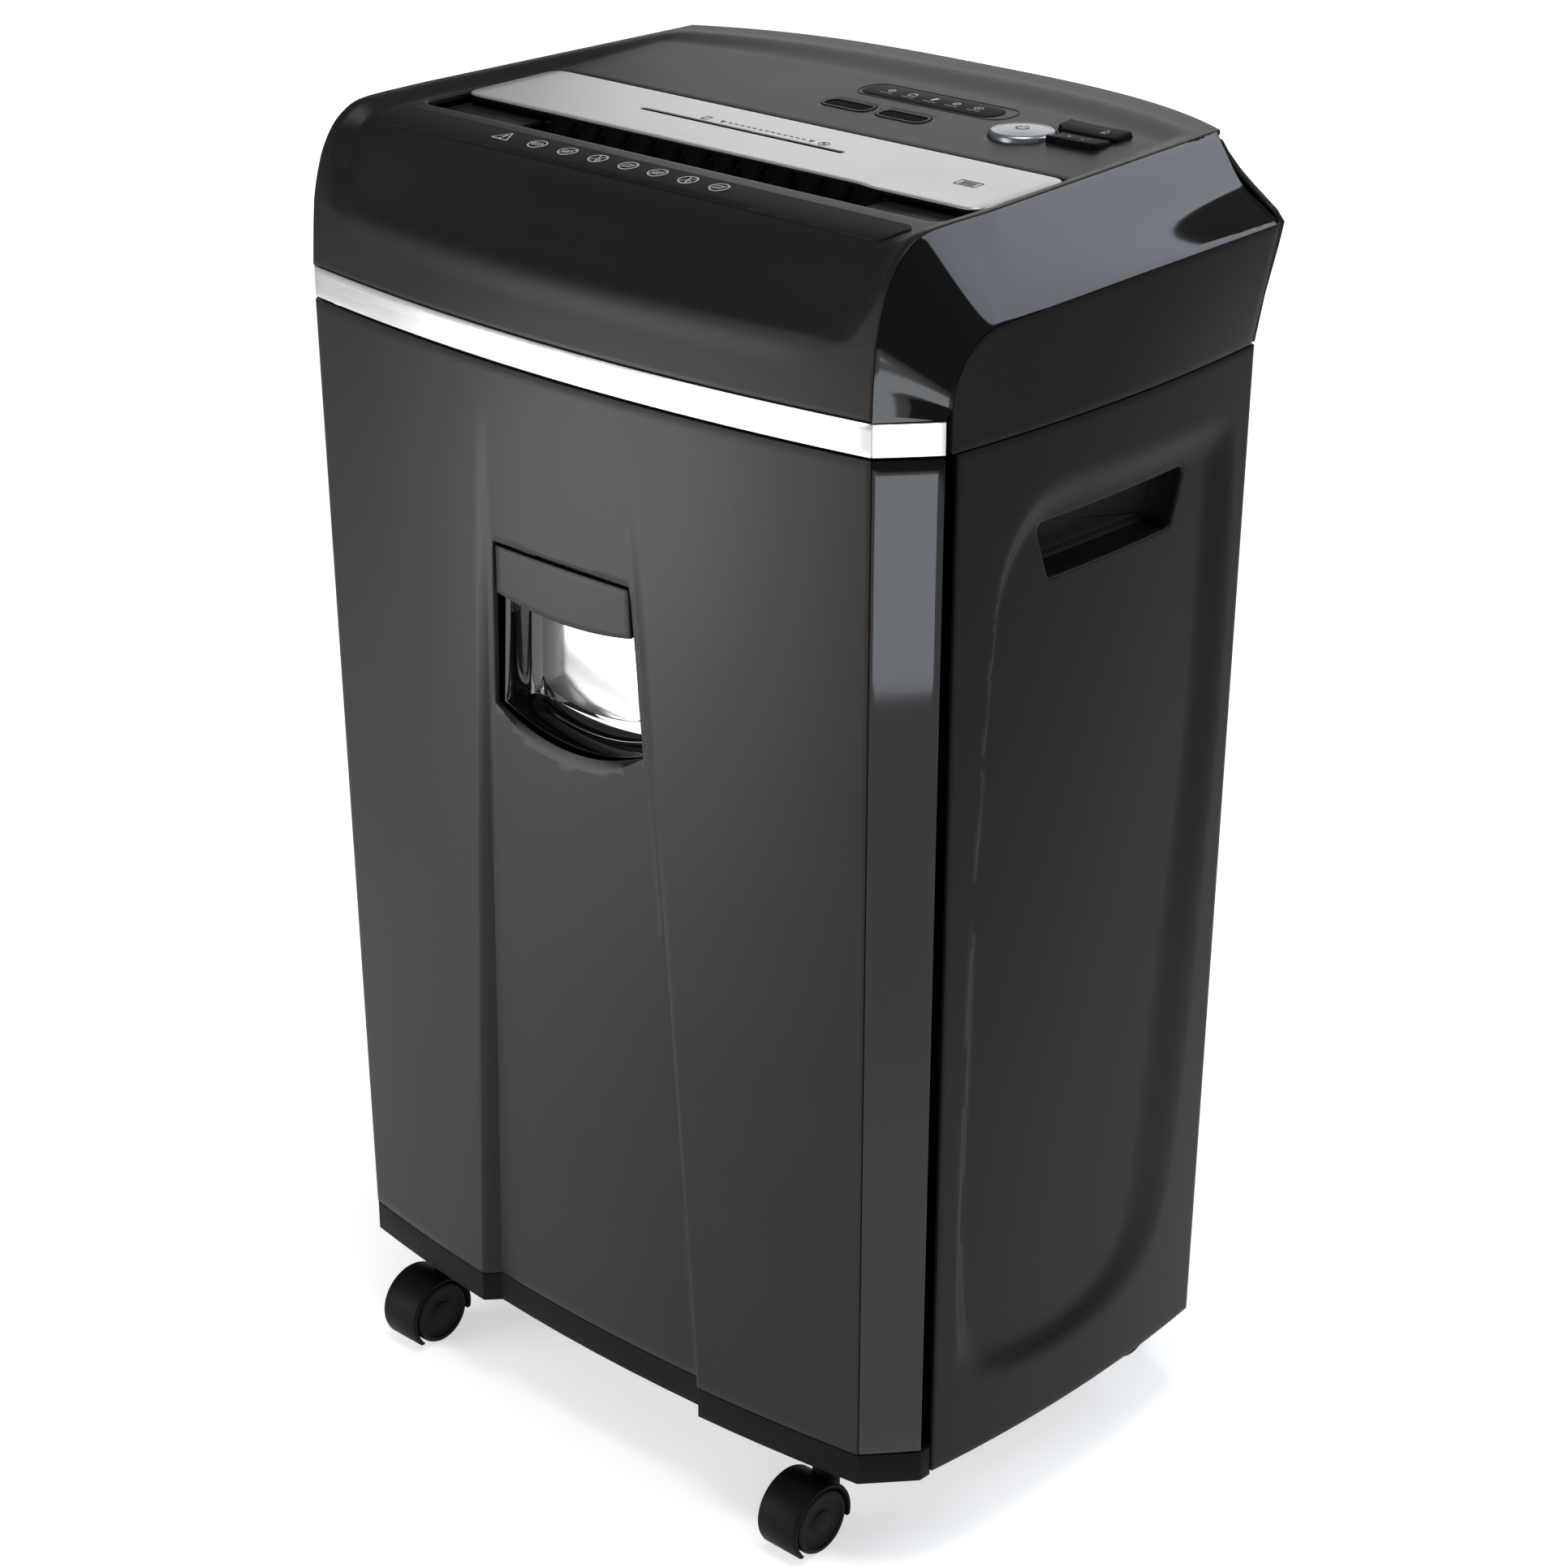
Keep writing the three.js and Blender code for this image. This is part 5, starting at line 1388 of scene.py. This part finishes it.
def makeVents():
    v, m = vents, ventMesh
    across, up = math.ceil(v["halfX"] * 2 / m["cell"]), math.ceil(v["halfY"] * 2 / m["cell"])
    for number, x in enumerate(v["places"]):
        letGo()
        bpy.ops.mesh.primitive_grid_add(x_subdivisions=across, y_subdivisions=up, size=2)
        lattice = bpy.context.object
        for vertex in lattice.data.vertices:
            px, py = x + vertex.co.x * v["halfX"] + vertex.co.y * 1.2, v["y"] + vertex.co.y * v["halfY"]
            vertex.co = Vector(onDeck((px, py), -m["sunk"])) * mm
        inner = oblong(x, v["y"], v["halfX"] - 0.2, v["halfY"] - 0.2, v["halfY"] - 0.4, 8)
        withoutFaces(lattice, lambda face: not within(inner, (face.center.x / mm, face.center.y / mm)))
        applied(lattice, "WIREFRAME", thickness=m["bar"] * mm, use_replace=True, use_boundary=True)
        rimOuter = oblong(x, v["y"], v["halfX"], v["halfY"], v["halfY"] - 0.2, 8)
        rim = flatMark("vent_rim", rimOuter, spread(rimOuter, -1.1),
                       lambda p, h: onDeck(p, h - m["sunk"] - 0.6), 1.5)
        # a black floor just under each grille closes the vent: painted shade standing in for the dark inside of
        # the head
        floor = stacked("vent_shade_floor", [[onDeck(p, h) for p in spread(rimOuter, -0.3)] for h in (-3.2, -2.6)])
        grille = smoothed(joined(f"vent_grille_{number + 1}_mesh", rim, lattice), 30)
        dressed(grille, "charcoal", "cabinet", f"vent_grille_{number + 1}")
        floor.name = f"vent_shade_floor_{number + 1}"
        dressed(floor, "black", "cabinet")


makeVents()


# Power button and keys

def makePower():
    p = power
    top = deckAt(p["x"], p["y"]) + p["rise"]
    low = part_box("power_button")[0].z / mm
    r = p["radius"]
    profile = [(4, low), (4, top - 9), (r - 0.4, top - 9), (r, top - 8.6), (r, top - 2.2),
               (r - 0.35, top - 1.5), (r - 1.1, top - 1.0), (r - 2.1, top - 0.7), (r - 2.5, top - 0.75),
               (r - 2.8, top - 0.95), (r - 3.3, top - 0.9), (10, top - 0.5), (7, top - 0.25),
               (3.5, top - 0.08), (0.6, top)]
    cap = stacked("power_button_cap", [[(x, y, z) for x, y in roundOutline(p["x"], p["y"], radius, 72)]
                                       for radius, z in profile])
    smoothed(cap, 40)
    dressed(cap, "button", "power_button", "power_button")

    def dome(point, height):
        away = math.hypot(point[0] - p["x"], point[1] - p["y"])
        return (point[0], point[1], top - 0.5 * (away / 10) ** 2 + height - 0.05)

    arc = [(p["x"] + radius * math.sin(math.radians(a)), p["y"] + radius * math.cos(math.radians(a)))
           for radius, angles in ((3.4, (38, 322)), (2.6, (322, 38))) for a in steps(*angles, 28)]
    mark = joined("power_mark", flatMark("mark", arc, None, dome),
                  flatMark("mark", barOutline(p["x"], p["y"] + 2.6, 3.2, 0.8, 90), None, dome))
    dressed(mark, "darkMarks", "power_button")


def makeKey(name, node, y, back, body):
    k = keys
    top = deckAt(k["x"], y) + k["lift"]
    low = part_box(node)[0].z / mm
    outline = evenly(keyOutline(y, 0), 4)

    def crown(point, height):
        tilt = 1.2 * (0.5 + back * (point[1] - y) / (2 * k["halfY"]))
        dish = 0.35 * (1 - ((point[0] - k["x"]) / k["halfX"]) ** 2)
        return (point[0], point[1], top + tilt - dish + height)

    rings = [[(x, yy, top - 6) for x, yy in outline]]
    for grow, height in ((0, -1.0), (-0.15, -0.5), (-0.45, -0.15), (-0.9, 0)):
        rings.append([crown(p, height) for p in spread(outline, grow)])
    cap = stacked(name + "_cap", rings)
    stem = stacked("stem", [[(x, yy, z) for x, yy in roundOutline(k["x"] + 4, y, 2.5, 16)]
                            for z in (low, top - 5)])
    cap = smoothed(joined(name + "_cap", cap, stem), 40)
    dressed(cap, "black", body, node)
    centre = k["x"] + 3
    arrow = polygonOutline(centre + 5, y, 2.6, 3, 90 if back > 0 else -90)
    parts = [flatMark("mark", *bandOf(arrow, 0.55), crown),
             flatMark("mark", barOutline(centre + 5, y - back * 2.6, 3.6, 0.6, 0), None, crown),
             flatMark("mark", roundOutline(centre - 4, y, 0.9, 16), None, crown)]
    dressed(joined(name + "_mark", *parts), "marks", body)


makePower()
makeKey("reverse_key", "reverse_button", keys["reverseY"], 1, "reverse_button")
makeKey("forward_key", "forward_button", keys["forwardY"], -1, "forward_button")
print("controls made")


# Inlet and main switch at the rear

def makeRear():
    faceY = rearLine(inlet["x"], flank["flareHalf"])
    r = inlet["radius"]
    profile = [(4.2, -12), (r, -12), (r, -0.6), (r - 0.4, 0.3), (r - 1.2, 0.5), (r - 2.2, 0.2), (4.6, -0.6),
               (4.0, -1.6), (4.0, -12)]
    rings = [[(x, faceY + at, z) for x, z in roundOutline(inlet["x"], inlet["z"], radius, 40)]
             for radius, at in profile]
    bush = smoothed(stacked("cord_inlet_bush", rings), 40)
    dressed(bush, "black", "cabinet", "cord_inlet")
    cap = bevelled(looseCopy("main_switch_rocker", "main_switch_cap"), 0.6, 3, 25)
    dressed(cap, "black", "main_switch", "main_switch_rocker")


makeRear()


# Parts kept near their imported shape, with their edges softened

def softened(node, name, finish, body, width):
    piece = looseCopy(node, name)
    applied(piece, "DECIMATE", decimate_type="DISSOLVE", angle_limit=math.radians(1))
    dressed(bevelled(piece, width), finish, body, node)


softened("base_tray", "base_skirt", "black", "cabinet", 0.7)
softened("bin_tub", "bin_bucket", "black", "bin", 0.6)
softened("bin_rail_left", "bin_runner_left", "steel", "cabinet", 0.4)
softened("bin_rail_right", "bin_runner_right", "steel", "cabinet", 0.4)


# Casters

caster = {"x": 142, "front": -114.2, "rear": 102, "trail": 16, "radius": 17.5, "width": 10.8, "from": 2.2,
          "hood": 21, "hoodWall": 2.2, "hoodStart": -12, "hoodEnd": 222}
wheelZ = caster["radius"] * math.cos(math.pi / 20)


def makeCaster(name, x, y, ahead):
    c = caster
    cy = y + ahead * c["trail"]
    half = c["from"] + c["width"]

    def onHood(radius, degrees, across):
        a = math.radians(degrees)
        return (x + across, cy - ahead * radius * math.cos(a), wheelZ + radius * math.sin(a))

    # a hood crowned across its width, hollow on both sides
    crown = ((-half, 1.0), (-half + 0.5, 0.35), (-half + 1.4, 0),
             (half - 1.4, 0), (half - 0.5, 0.35), (half, 1.0))
    rows = steps(c["hoodStart"], c["hoodEnd"], 52)
    hood = stacked("hood", [[onHood(c["hood"] - drop, angle, across) for angle in rows]
                            for across, drop in crown])
    for side in (-1, 1):
        near, far = side * (c["from"] - 0.4), side * (half + 2)
        carved(hood, stacked("hollow", [[onHood(c["hood"] - c["hoodWall"], angle, across)
                                         for angle in steps(0, 360, 64)[:-1]] for across in (near, far)]))
    bevelled(hood, 0.35, 2, 50)
    neck = stacked("neck", [[(px, py, z) for px, py in roundOutline(x, y, radius, 32)]
                            for radius, z in ((7, wheelZ + 4), (7, baseZ - 3), (6.4, baseZ - 2),
                                              (5.6, baseZ - 1.5), (5, baseZ - 1.4), (5, baseZ + 13),
                                              (4.4, baseZ + 13.6))])
    axle = stacked("axle", [[onHood(3, angle, across) for angle in steps(0, 360, 24)[:-1]]
                            for across in (-half + 3, half - 3)])
    hood = smoothed(joined(f"caster_yoke_{name}", hood, neck, axle), 40)
    dressed(hood, "black", f"caster_{name}", f"caster_hood_{name}")
    outward = math.copysign(1, x)
    for which, side in (("outer", outward), ("inner", -outward)):
        far, near = c["from"] + c["width"] - 0.2, c["from"] + 0.1
        r = wheelZ - 0.02
        profile = [(3.6, near), (r - 1.2, near), (r - 0.4, near + 0.4), (r - 0.05, near + 1.4),
                   (r, (near + far) / 2), (r - 0.05, far - 1.6), (r - 0.5, far - 0.6), (r - 1.4, far - 0.1),
                   (r - 2.4, far), (r - 3.0, far - 0.2), (r - 3.4, far - 0.9), (r - 4.2, far - 1.2),
                   (7.2, far - 1.5), (6.6, far - 1.2), (6.2, far - 0.5), (5.4, far - 0.2), (1.2, far - 0.1)]
        rings = [[(x + side * across, yy, z) for yy, z in roundOutline(cy, wheelZ, radius, 64)]
                 for radius, across in profile]
        wheel = smoothed(stacked(f"caster_roller_{name}_{which}", rings), 35)
        dressed(wheel, "rubber", f"wheel_{name}_{which}", f"caster_wheel_{name}_{which}")


for sideName, side in (("left", -1), ("right", 1)):
    makeCaster(f"front_{sideName}", side * caster["x"], caster["front"], -1)
    makeCaster(f"rear_{sideName}", side * caster["x"], caster["rear"], 1)
print("casters made")


# Finishes of the parts inside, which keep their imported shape

insideFinishes = {
    "steel": ("cutter_shaft_front", "cutter_shaft_rear", "cutter_comb_front", "cutter_comb_rear",
              "cutter_plate_left", "cutter_plate_right", "tie_rod_front", "tie_rod_rear",
              "cutter_gear_front", "cutter_gear_rear", "idler_gear", "motor_pinion", "gear_guard", "motor"),
    "board": ("control_board",),
    "black": ("head_floor",),
}
for finish, names in insideFinishes.items():
    for name in names:
        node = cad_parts[name]
        node.data.materials.clear()
        node.data.materials.append(finishes[finish])
print("inside dressed")

# End

bpy.context.scene.view_settings.view_transform = "Standard"
